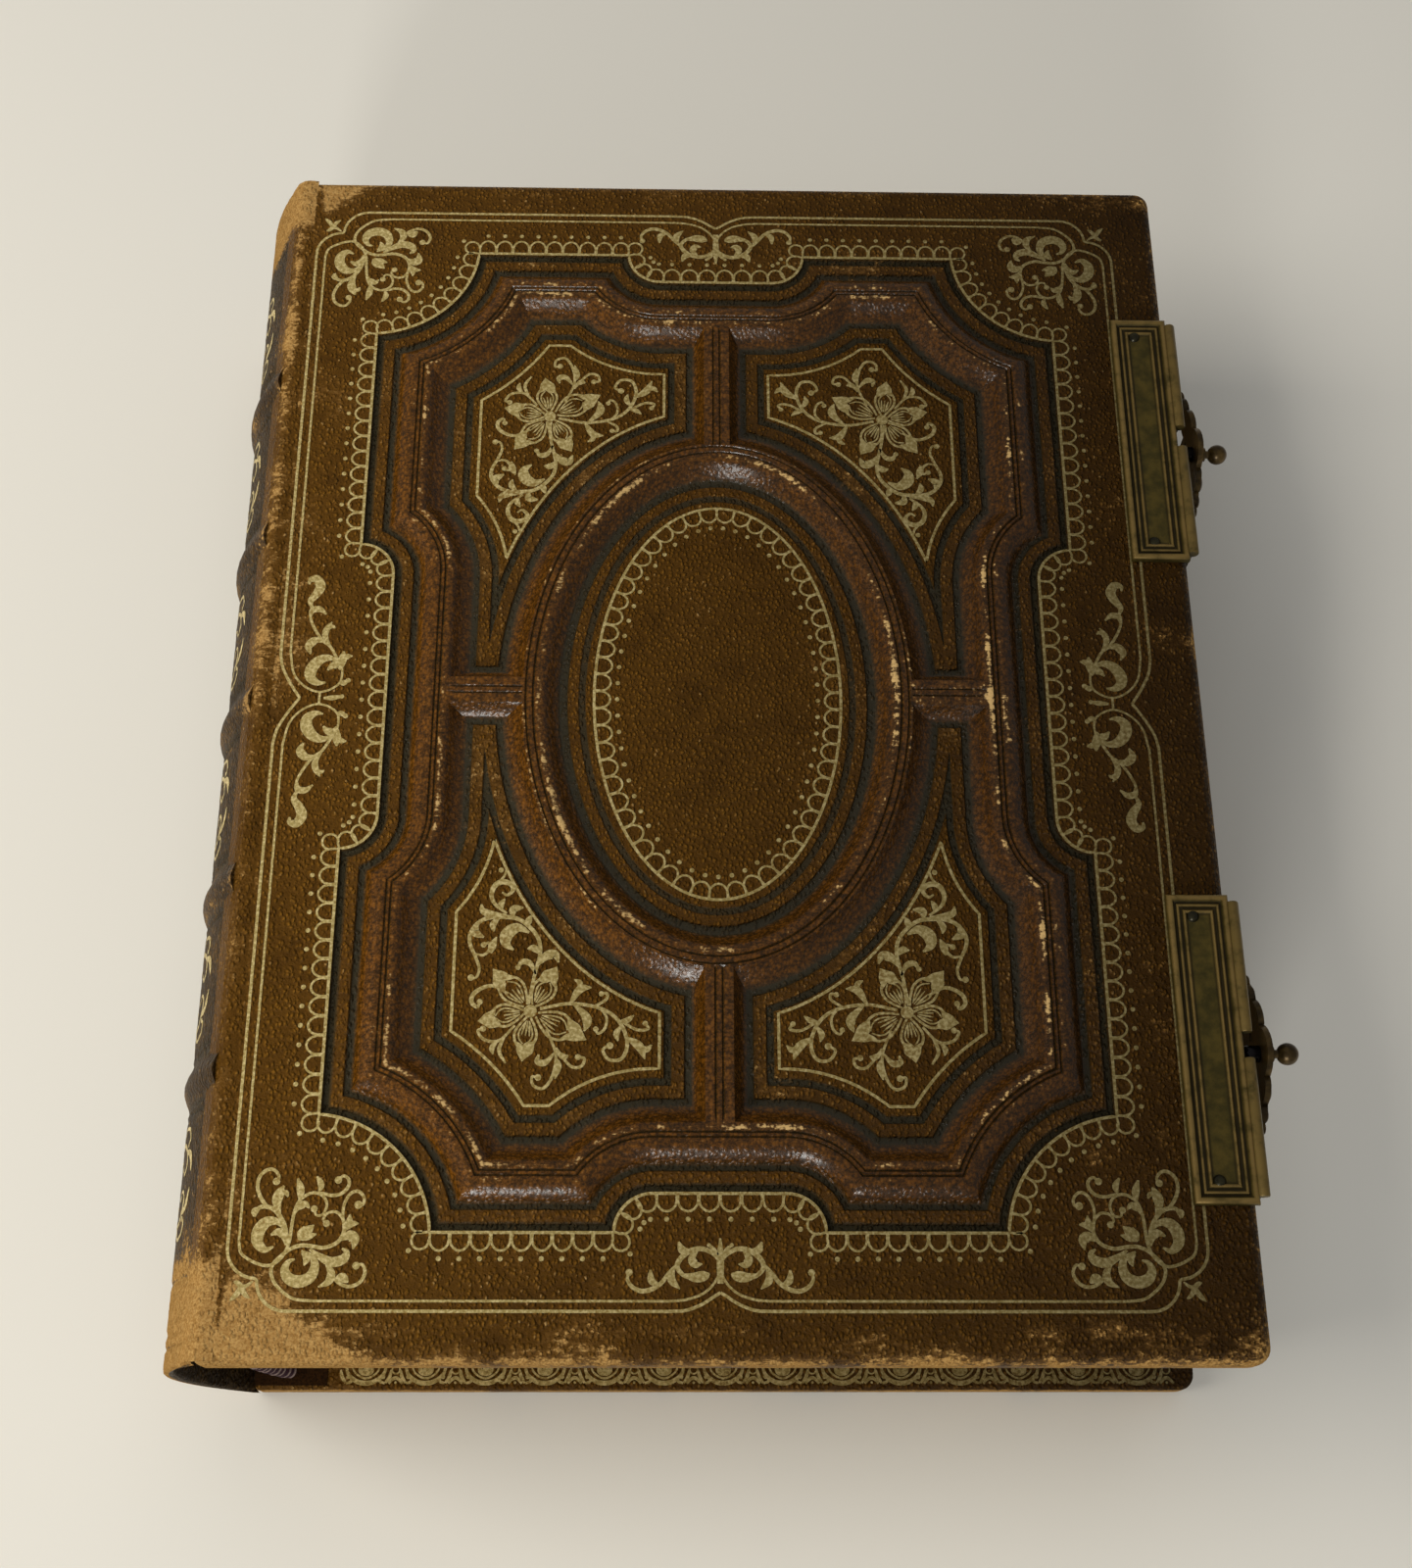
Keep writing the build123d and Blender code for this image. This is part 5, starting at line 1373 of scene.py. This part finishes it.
# The strip's line over the spine: distance from the shoulder, lift
STRIP_ON_SPINE = ((5.0, -0.02), (3.4, 0.12), (2.0, 0.2), (0.6, 0.32))
# Its line over a board: distance in from the hinge, height, and share of how proud it lies
STRIP_ON_BOARD = (
    (0.05, -0.35, 0), (0.5, -0.02, 0), (1.1, 0, 0.7), (2.0, 0, 1), (3.0, 0, 0.6), (4.0, -0.03, 0),
)
FRONT_PROUD = 0.2
BACK_PROUD = 0.05
BEND_END = 3                      # the point over the board at which the strip has turned with it
STRIP_WEAR = 0.16
STREAK_WEAR = 0.46
STREAK_PLACE = 0.6
STREAK_REACH = 2.0


def joint_leather(name, material, front):
    """The strip of the same skin that runs from the spine over a board's shoulder."""
    from_shoulder, lift = np.array(STRIP_ON_SPINE).T
    on_back = on_spine(SPINE_REACH - from_shoulder, 0, lift)[:, (0, 2)]
    hinge_x = board_low[0] - HINGE_OFFSET
    inward, height, share = np.array(STRIP_ON_BOARD).T
    proud = FRONT_PROUD if front else BACK_PROUD
    over_board = np.column_stack([hinge_x + inward, BORDER_LEVEL + height + proud * share])
    path = smooth_line(np.concatenate([on_back, over_board]), 3)
    ahead = np.gradient(path, axis=0)
    ahead /= np.hypot(*ahead.T)[:, None]
    outward = np.column_stack([-ahead[:, 1], ahead[:, 0]])
    inner = path - outward * JOINT_SKIN
    share = np.linspace(0, 1, len(path))
    streak = bell(path[:, 0] - hinge_x - STREAK_PLACE, STREAK_REACH)
    points, pressing = [], []
    ys = np.arange(-half_height + JOINT_SETBACK, half_height - JOINT_SETBACK + 0.1, JOINT_STEP)
    for y in ys:
        crease = 0.05 * np.sin(2.3 * y + 9 * share + 2 * np.sin(0.4 * y)) * np.sin(math.pi * share)
        loop = np.concatenate([path + outward * crease[:, None], inner[::-1]])
        points.append(np.column_stack([loop[:, 0], np.full(len(loop), y), loop[:, 1]]))
        to_head = (y + half_height) / (2 * half_height)
        amount = STREAK_WEAR + 0.3 * to_head ** 2 + 0.08 * math.sin(0.13 * y) + 0.04 * math.sin(0.9 * y)
        marks = np.zeros((len(loop), 3))
        marks[:len(path), 1] = np.maximum(STRIP_WEAR + (amount - STRIP_WEAR) * streak, end_wear(0, y))
        pressing.append(marks)
    count = 2 * len(path)
    last = (len(ys) - 1) * count
    faces = strip_faces(len(ys), count, True)
    faces += [tuple(range(count)), tuple(range(last + count - 1, last - 1, -1))]
    points = np.concatenate(points)
    start, finish = (np.array([x, 0, z]) for x, z in (on_back[0], over_board[BEND_END]))
    if not front:
        for turned in (points.T, start, finish):
            turned[2] = BORDER_LEVEL - turned[2]
        faces = [face[::-1] for face in faces]
    piece = merged(make_piece(name, points, faces, material, None, np.concatenate(pressing)))
    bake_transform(piece)


# Back cover

BLIND_INSETS = (9.0, 12.0)
BLIND_WIDTH = 0.6
BLIND_WALL = 0.12
BLIND_FALL = 0.3
BASE_PLATE_TOP = 1.05
POCKET_WALL = 0.04


def rectangle(low, high, step=3.0):
    """A rectangle's outline as a closed loop of points."""
    corners = [(low[0], low[1]), (high[0], low[1]), (high[0], high[1]), (low[0], high[1])]
    sides = [run(a, b, step)[:-1] for a, b in zip(corners, corners[1:] + corners[:1])]
    return np.concatenate(sides)


def back_cover(material):
    """The plain back board, with two blind lines and let in for the clasps' base plates."""
    loops = [board_loop(inset) for inset in EDGE_INSETS]
    for line in BLIND_INSETS:
        for inset in (line, line + BLIND_WALL, line + BLIND_WIDTH - BLIND_WALL, line + BLIND_WIDTH):
            reach = half_height - inset
            loops.append(rectangle((joint_x - HINGE_OFFSET + inset, -reach), (fore_x - inset, reach)))
    pockets = [node_box("base_plate_" + end) for end in ("head", "tail")]
    for low, high in pockets:
        for wall in (0, POCKET_WALL):
            loops.append(rectangle((low[0] + wall, low[1] + wall), (fore_x - POCKET_WALL, high[1] - wall)))
    plane, faces = triangulated(loops)
    x, y = plane.T
    inset = np.minimum.reduce([x - joint_x + HINGE_OFFSET, fore_x - x, half_height - np.abs(y)])
    half_wall = BLIND_WALL / 2
    grooves = [(inset > line + half_wall) & (inset < line + BLIND_WIDTH - half_wall) for line in BLIND_INSETS]
    groove = np.logical_or(*grooves).astype(float)
    height = rolled_drop(x, y) + BLIND_FALL * groove
    half_wall = POCKET_WALL / 2
    for low, high in pockets:
        within = (x > low[0] + half_wall) & (y > low[1] + half_wall) & (y < high[1] - half_wall)
        height = np.where(within, np.maximum(height, BASE_PLATE_TOP), height)
    marks = np.column_stack([groove, 0 * groove, 0 * groove])
    bound_board("back_cover", "back_board", material, (0.0, board_high[2]),
                plane, height, faces, marks)


# The gilt roll round the inside of both boards

ROLL_UNIT = 13.0
ROLL_MARGIN = 0.9
ROLL_FROM_JOINT = 24.0
ROLL_FROM_FORE = 8.0
ROLL_FROM_END = 13.0
# Its motif: points along the edge and in from it, root, belly, tip, ball
ROLL_MOTIF = [
    ([(-4.4, 5), (-3.9, 2.6), (-2, 1.0), (0, 0.6), (2, 1.0), (3.9, 2.6), (4.4, 5)], 0.4, 0.8, 0.4, 0),
    ([(-3.2, 5), (-2.6, 3.1), (-1.3, 2), (0, 1.6), (1.3, 2), (2.6, 3.1), (3.2, 5)], 0.3, 0.35, 0.3, 0),
    ([(0, 2.1), (0.1, 3.6), (0, 5)], 0.4, 1.0, 0.3, 0),
    ([(0, 2.3), (1.0, 3), (1.5, 4.4)], 0.4, 0.9, 0.2, 0),
    ([(0, 2.3), (-1.0, 3), (-1.5, 4.4)], 0.4, 0.9, 0.2, 0),
    ([(4.2, 0.6), (3.2, 0.9), (3.1, 1.7), (3.8, 1.9)], 0.4, 0.5, 0.3, 0.4),
    ([(-4.2, 0.6), (-3.2, 0.9), (-3.1, 1.7), (-3.8, 1.9)], 0.4, 0.5, 0.3, 0.4),
    ([(4.3, 0.6), (5.2, 2), (5.5, 3.4)], 0.4, 0.6, 0.3, 0),
    ([(-4.3, 0.6), (-5.2, 2), (-5.5, 3.4)], 0.4, 0.6, 0.3, 0),
    ([(5.0, 0.5), (5.8, 1.4), (6.5, 1.7), (7.2, 1.4), (8.0, 0.5)], 0.4, 0.6, 0.4, 0),
]


def inside_roll(name, material, body, level, outward):
    """The roll along the head, tail and fore edge of a board's inner side."""
    gilding = Gilding()
    middle = ROLL_UNIT / 2
    unit = sprays(ROLL_MOTIF) + [ring((middle, 3.4), 0.85)]
    unit += [dot((middle, place), radius, SMALL_DOT_SIDES) for place, radius in ((4.9, 0.35), (0.7, 0.3))]
    for x in np.arange(joint_x + ROLL_FROM_JOINT, fore_x - ROLL_FROM_FORE, ROLL_UNIT):
        gilding.add(unit, (x, -half_height + ROLL_MARGIN))
        gilding.add(unit, (x, half_height - ROLL_MARGIN), (1, -1))
    for y in np.arange(-half_height + ROLL_FROM_END, half_height - ROLL_FROM_END + 1, ROLL_UNIT):
        gilding.add(unit, (fore_x - ROLL_MARGIN, y), (1, 1), 90)

    def on_board(x, y, lift):
        return np.column_stack([x, y, level + outward * lift])

    gilding.lay(name, material, body, on_board, outward)


# Leaves

LEAF_COUNT = 24
LEAF_GAP = 0.35
WINDOW = (98.0, 138.0)
WINDOW_DEPTH = 1.1
WINDOW_BEVEL = 1.2
WINDOW_ROUND = 1.2
LEAF_EDGE = 0.15              # the softened edge of a leaf
LEAF_ROUND = 1.0
LEAF_SHY = 0.25               # how far the shortest leaves stay behind the others
BLOCK_BULGE = 3.0


def rounded_rectangle(centre_x, width, height, radius):
    """A rectangle with round corners, about a middle on the X axis."""
    reach = np.array([width / 2 - radius, height / 2 - radius])
    corners = [quarter_turn((centre_x, 0) + signs * reach, radius, 90 * number, 5)
               for number, signs in enumerate(np.array(QUARTERS))]
    return np.concatenate(corners)


def leaf(back, fore, half, low, high, window=0):
    """One card leaf: points, and faces with a mark for those that are gilt. A window of 1 opens its
    upper face, and one of -1 its lower face."""
    centre, width, height = (back + fore) / 2, fore - back, 2 * half
    outlines = [rounded_rectangle(centre, width - 2 * step, height - 2 * step, LEAF_ROUND - step)
                for step in (LEAF_EDGE, 0, 0, LEAF_EDGE)]
    levels = (low, low + LEAF_EDGE, high - LEAF_EDGE, high)
    count = len(outlines[0])
    points = [at_height(line, z) for line, z in zip(outlines, levels)]
    faces = [(face, 1) for face in strip_faces(len(levels), count, True)]
    for side, number in ((-1, 0), (1, 3)):
        edge = list(range(number * count, (number + 1) * count))
        if side != window:
            faces.append((edge[::side], 0))
            continue
        bevelled = (size + 2 * WINDOW_BEVEL for size in WINDOW)
        opening = rounded_rectangle(centre, *bevelled, WINDOW_ROUND + WINDOW_BEVEL)
        floor = rounded_rectangle(centre, *WINDOW, WINDOW_ROUND)
        plane, cut = triangulated([outlines[number], opening, floor])
        inner = np.all(np.abs(plane - (centre, 0)) < np.array(WINDOW) / 2 + 0.01, axis=1)
        first = sum(len(row) for row in points)
        points.append(at_height(plane, np.where(inner, levels[number] - side * WINDOW_DEPTH, levels[number])))
        for face in cut:
            gilt = 0 < sum(inner[i] for i in face) < 3
            faces.append(([first + i for i in face][::side], int(gilt)))
    return np.concatenate(points), faces


def leaves(card, gilt_edge):
    """All the card leaves, with gilt edges, and windows in the outer two."""
    pitch = (block_high[2] - block_low[2]) / LEAF_COUNT
    back, fore, half = block_low[0] + BLOCK_BULGE, block_high[0], block_high[1]
    radius, _ = bow((block_high[2] - block_low[2]) / 2, BLOCK_BULGE)
    middle = (block_high[2] + block_low[2]) / 2
    points, faces, marks = [], [], []
    for number in range(LEAF_COUNT):
        low = block_low[2] + number * pitch + (LEAF_GAP / 2 if number else 0)
        high = block_low[2] + (number + 1) * pitch - (LEAF_GAP / 2 if number < LEAF_COUNT - 1 else 0)
        rise = (low + high) / 2 - middle
        own_back = back - BLOCK_BULGE + radius - math.sqrt(radius ** 2 - rise ** 2)
        shy = LEAF_SHY * (0.5 + 0.5 * math.sin(2.4 * number))
        window = 1 if number == LEAF_COUNT - 1 else -1 if number == 0 else 0
        leaf_points, leaf_faces = leaf(own_back, fore - shy, half - shy, low, high, window)
        first = sum(len(p) for p in points)
        points.append(leaf_points)
        faces += [[first + i for i in face] for face, _ in leaf_faces]
        marks += [mark for _, mark in leaf_faces]
    piece = make_piece(
        "album_leaves", np.concatenate(points), faces, card, "book_block",
        replaces=["page_block"],
    )
    piece.data.materials.append(gilt_edge)
    piece.data.polygons.foreach_set("material_index", marks)


# Woven bands at the head and tail of the leaves

CORD_RADIUS = 1.5
THREAD_RADIUS = 0.42
THREAD_PITCH = 0.95
THREAD_SLANT = 1.1
THREAD_SIDES = 6
THREAD_POINTS = 14
WHITE_THREAD_EVERY = 3
BAND_SEAT = 1.2                   # of the cord's middle beyond the leaves


def end_band(end, materials):
    """Threads of two colours wound over a cord that follows the leaves' back."""
    node = "head_band" if end > 0 else "tail_band"
    low, high = node_box(node)
    radius, half_angle = bow((high[2] - low[2]) / 2, BLOCK_BULGE)
    centre = (low[0] + radius, (low[2] + high[2]) / 2)
    y = end * (block_high[1] + BAND_SEAT)
    turns = whole_turn(THREAD_POINTS)
    count = int(2 * half_angle * radius / THREAD_PITCH)
    points, faces, marks = [], [], []
    for number in range(count + 1):
        angle = -half_angle + 2 * half_angle * number / count
        along = angle + THREAD_SLANT / radius * np.sin(turns) / 2
        outward = np.column_stack([-np.cos(along), 0 * along, np.sin(along)])
        x, z = centre[0] - (radius - CORD_RADIUS) * np.cos(along), centre[1] + radius * np.sin(along)
        middle = np.column_stack([x, y + 0 * along, z])
        radial = outward * np.cos(turns)[:, None] + np.array([0, 1, 0]) * np.sin(turns)[:, None]
        path = middle + radial * CORD_RADIUS * (1 + 0.05 * math.sin(5 * number))
        tangent = np.roll(path, -1, 0) - np.roll(path, 1, 0)
        tangent /= np.linalg.norm(tangent, axis=1)[:, None]
        side = np.cross(tangent, radial)
        first = number * THREAD_SIDES * THREAD_POINTS
        for turn in whole_turn(THREAD_SIDES):
            points.append(path + THREAD_RADIUS * (radial * math.cos(turn) + side * math.sin(turn)))
        for a in range(THREAD_SIDES):
            row, following = (first + k % THREAD_SIDES * THREAD_POINTS for k in (a, a + 1))
            for i in range(THREAD_POINTS):
                j = (i + 1) % THREAD_POINTS
                faces.append((row + i, row + j, following + j, following + i))
        marks += [int(number % WHITE_THREAD_EVERY == 0)] * (THREAD_SIDES * THREAD_POINTS)
    piece = make_piece(
        "woven_" + node, np.concatenate(points), faces, materials[0], "book_block",
        replaces=[node],
    )
    piece.data.materials.append(materials[1])
    piece.data.polygons.foreach_set("material_index", marks)


# Clasps

# Section of a catch plate: distance in from its edge, height over its flat, groove, wear
PLATE_SECTION = [
    (0.0, 0.1, 0.4, 0), (0.12, 0.5, 0, 0.5), (0.45, 0.82, 0, 1), (0.85, 0.9, 0, 1), (1.25, 0.75, 0, 0.6),
    (1.5, 0.35, 0.3, 0), (1.7, 0.08, 1, 0), (1.95, 0.08, 1, 0), (2.1, 0.38, 0, 0.5), (2.35, 0.5, 0, 0.9),
    (2.6, 0.38, 0, 0.4), (2.75, 0.06, 1, 0), (3.2, 0.02, 1, 0), (3.35, 0.35, 0, 0.5), (3.65, 0.55, 0, 1),
    (3.95, 0.4, 0, 0.5), (4.15, 0.05, 0.8, 0), (4.6, 0.0, 0, 0),
]
LIP_RADIUS = 1.35
WEB_THICKNESS = 0.8
WEB_REACH = 8.2
PLATE_THICKNESS = 0.9
LIP_SHORTFALL = 1.6
LIP_TURN = (-80, 190)         # degrees between which the lip is rolled
LIP_POINTS = 28
LIP_FOOT = 1.3
LIP_END = 0.25
LIP_END_SHARE = 0.9
NOTCH_HALF = 2.7
PLATE_OVERHANG = 0.05
PLATE_STEP = 4.0
PLATE_SHARP = 28.0


def swept(outline, spans):
    """A closed XZ outline swept along Y over several spans: points and faces."""
    points, faces = [], []
    count = len(outline)
    for start, finish in spans:
        first = len(points)
        middle = outline.mean(axis=0)
        rows = [(start, LIP_END_SHARE), (start + LIP_END, 1), (finish - LIP_END, 1), (finish, LIP_END_SHARE)]
        for y, share in rows:
            for x, z in middle + (outline - middle) * share:
                points.append((x, y, z))
        faces += strip_faces(len(rows), count, True, first)
        last = first + (len(rows) - 1) * count
        faces += [tuple(range(first + count - 1, first - 1, -1)), tuple(range(last, last + count))]
    return np.array(points), faces


def catch_plate(end, material):
    """A pressed brass plate of stepped mouldings round a flat panel, with a rolled lip."""
    node = "catch_plate_" + end
    low, high = node_box(node)
    middle, half = (low[1] + high[1]) / 2, (high[1] - low[1]) / 2
    face_level = BORDER_LEVEL + PLATE_THICKNESS
    edge_x = fore_x + PLATE_OVERHANG

    def outline(inset):
        return rectangle((low[0] + inset, low[1] + inset), (edge_x - inset, high[1] - inset), PLATE_STEP)

    plane, faces = triangulated([outline(inset) for inset, *_ in PLATE_SECTION])
    x, y = plane.T
    distance = np.minimum.reduce([x - low[0], edge_x - x, half - np.abs(y - middle)])
    height, groove, wear = section(PLATE_SECTION, distance).T
    rim = outline(0)
    count = len(rim)
    first = len(plane)
    faces = [*faces, *strip_faces(2, count, True, first), tuple(range(first + count - 1, first - 1, -1))]
    web = fore_x + WEB_THICKNESS
    roll = on_circle((web, face_level), LIP_RADIUS, np.radians(np.linspace(*LIP_TURN, LIP_POINTS)))
    foot = BORDER_LEVEL - WEB_REACH
    lip_section = np.array([
        (fore_x, foot), (web, foot), (web, face_level - LIP_FOOT), *roll, (fore_x, BORDER_LEVEL),
    ])
    reach = half - LIP_SHORTFALL
    spans = [(middle - reach, middle - NOTCH_HALF), (middle + NOTCH_HALF, middle + reach)]
    lip, lip_faces = swept(lip_section, spans)
    first += 2 * count
    faces += [[first + i for i in face] for face in lip_faces]
    points = [
        at_height(plane, face_level + height), at_height(rim, BORDER_LEVEL),
        at_height(rim, face_level + PLATE_SECTION[0][1]), lip,
    ]
    marks = np.zeros((first + len(lip), 3))
    marks[:len(plane), :2] = np.column_stack([groove, wear])
    # The lip is coloured darker below its roll's middle, the more the lower it lies, and marked worn over its
    # top
    crown = (lip[:, 2] - face_level) / LIP_RADIUS
    marks[first:, 0] = np.clip(-0.25 * crown, 0, 0.8)
    marks[first:, 1] = 0.7 * np.clip(crown, 0, 1)
    merged(make_piece(
        "moulded_" + node, np.concatenate(points), faces, material, "front_cover", marks,
        sharp=PLATE_SHARP, replaces=[node],
    ))


def paint(material, *nodes):
    """Gives CAD nodes that the scene keeps a material of its own."""
    for node in nodes:
        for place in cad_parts[node].material_slots:
            place.link = "OBJECT"
            place.material = material


add_camera()
add_stage()
gold = gold_leaf()
cover_leather = leather("pebbled_morocco_leather", "#2c1a04", "#714d16", "#b08c55", "#8a6636")
spine_skin = leather("creased_morocco_leather", "#20160a", "#55401f", "#b08c55", "#8a6636", 0.6)
front_cover(cover_leather)
front_tooling(gold)
spine(spine_skin)
spine_tooling(gold)
joint_leather("front_joint_leather", cover_leather, True)
joint_leather("back_joint_leather", cover_leather, False)
back_cover(cover_leather)
inside_roll("back_board_gilt_roll", gold, "back_cover", board_high[2], 1)
inside_roll("front_board_gilt_roll", gold, "front_cover", front_low[2], -1)

# Thick card with a coated white face; the edges were sanded, gilt and burnished, and have dulled
ivory_card = plain_material("ivory_card", "#e6dcc2", 0.75, cell=6.0, second="#d8cbab")
gilt_card_edge = plain_material(
    "gilt_card_edge", "#a8843c", 0.38, 0.75, cell=1.4, depth=0.03, second="#7b5c26",
)
leaves(ivory_card, gilt_card_edge)
# Silk thread wound over a cord: little sheen is left, the purple has faded and the white has browned
purple_silk = plain_material("purple_silk", "#38212a", 0.6, cell=0.3, depth=0.05, second="#221319", shine=0.1)
white_silk = plain_material("white_silk", "#8a7870", 0.6, cell=0.3, depth=0.05, second="#63524d", shine=0.1)
for band_end in (-1, 1):
    end_band(band_end, (purple_silk, white_silk))

plate_brass = aged_brass("pressed_plate_brass", "#3b3413", "#594b1e", "#80693a")
cast_brass = aged_brass("browned_cast_brass", "#30240f", "#5f4b26", "#99824e", 0.36)
for clasp_end in ("head", "tail"):
    catch_plate(clasp_end, plate_brass)
paint(plate_brass, "base_plate_head", "base_plate_tail")
paint(cast_brass, "clasp_strap_head", "clasp_strap_tail", "pull_knob_head", "pull_knob_tail",
      "hinge_pin_head", "hinge_pin_tail")
paint(aged_brass("tarnished_pin_heads", "#16140c", "#35321e", "#6f6b4a", 0.3),
      "catch_plate_pins", "base_plate_pins")
# Steel turned and polished, then blued by heat
paint(plain_material("blued_steel", "#2c2a2c", 0.22, 0.95, cell=2.0), "catch_stud_head", "catch_stud_tail")
# Surface-coated paper, calendered to a gloss
paint(plain_material("glazed_paper", "#e3dccb", 0.32, cell=12.0, second="#d9d0bb"),
      "front_pastedown", "back_pastedown")
# Woven book cloth, sized and dyed dark brown
paint(plain_material("dark_book_cloth", "#38220e", 0.9, cell=0.45, depth=0.12, second="#1c1106", shine=0.08),
      "front_inner_joint", "back_inner_joint")
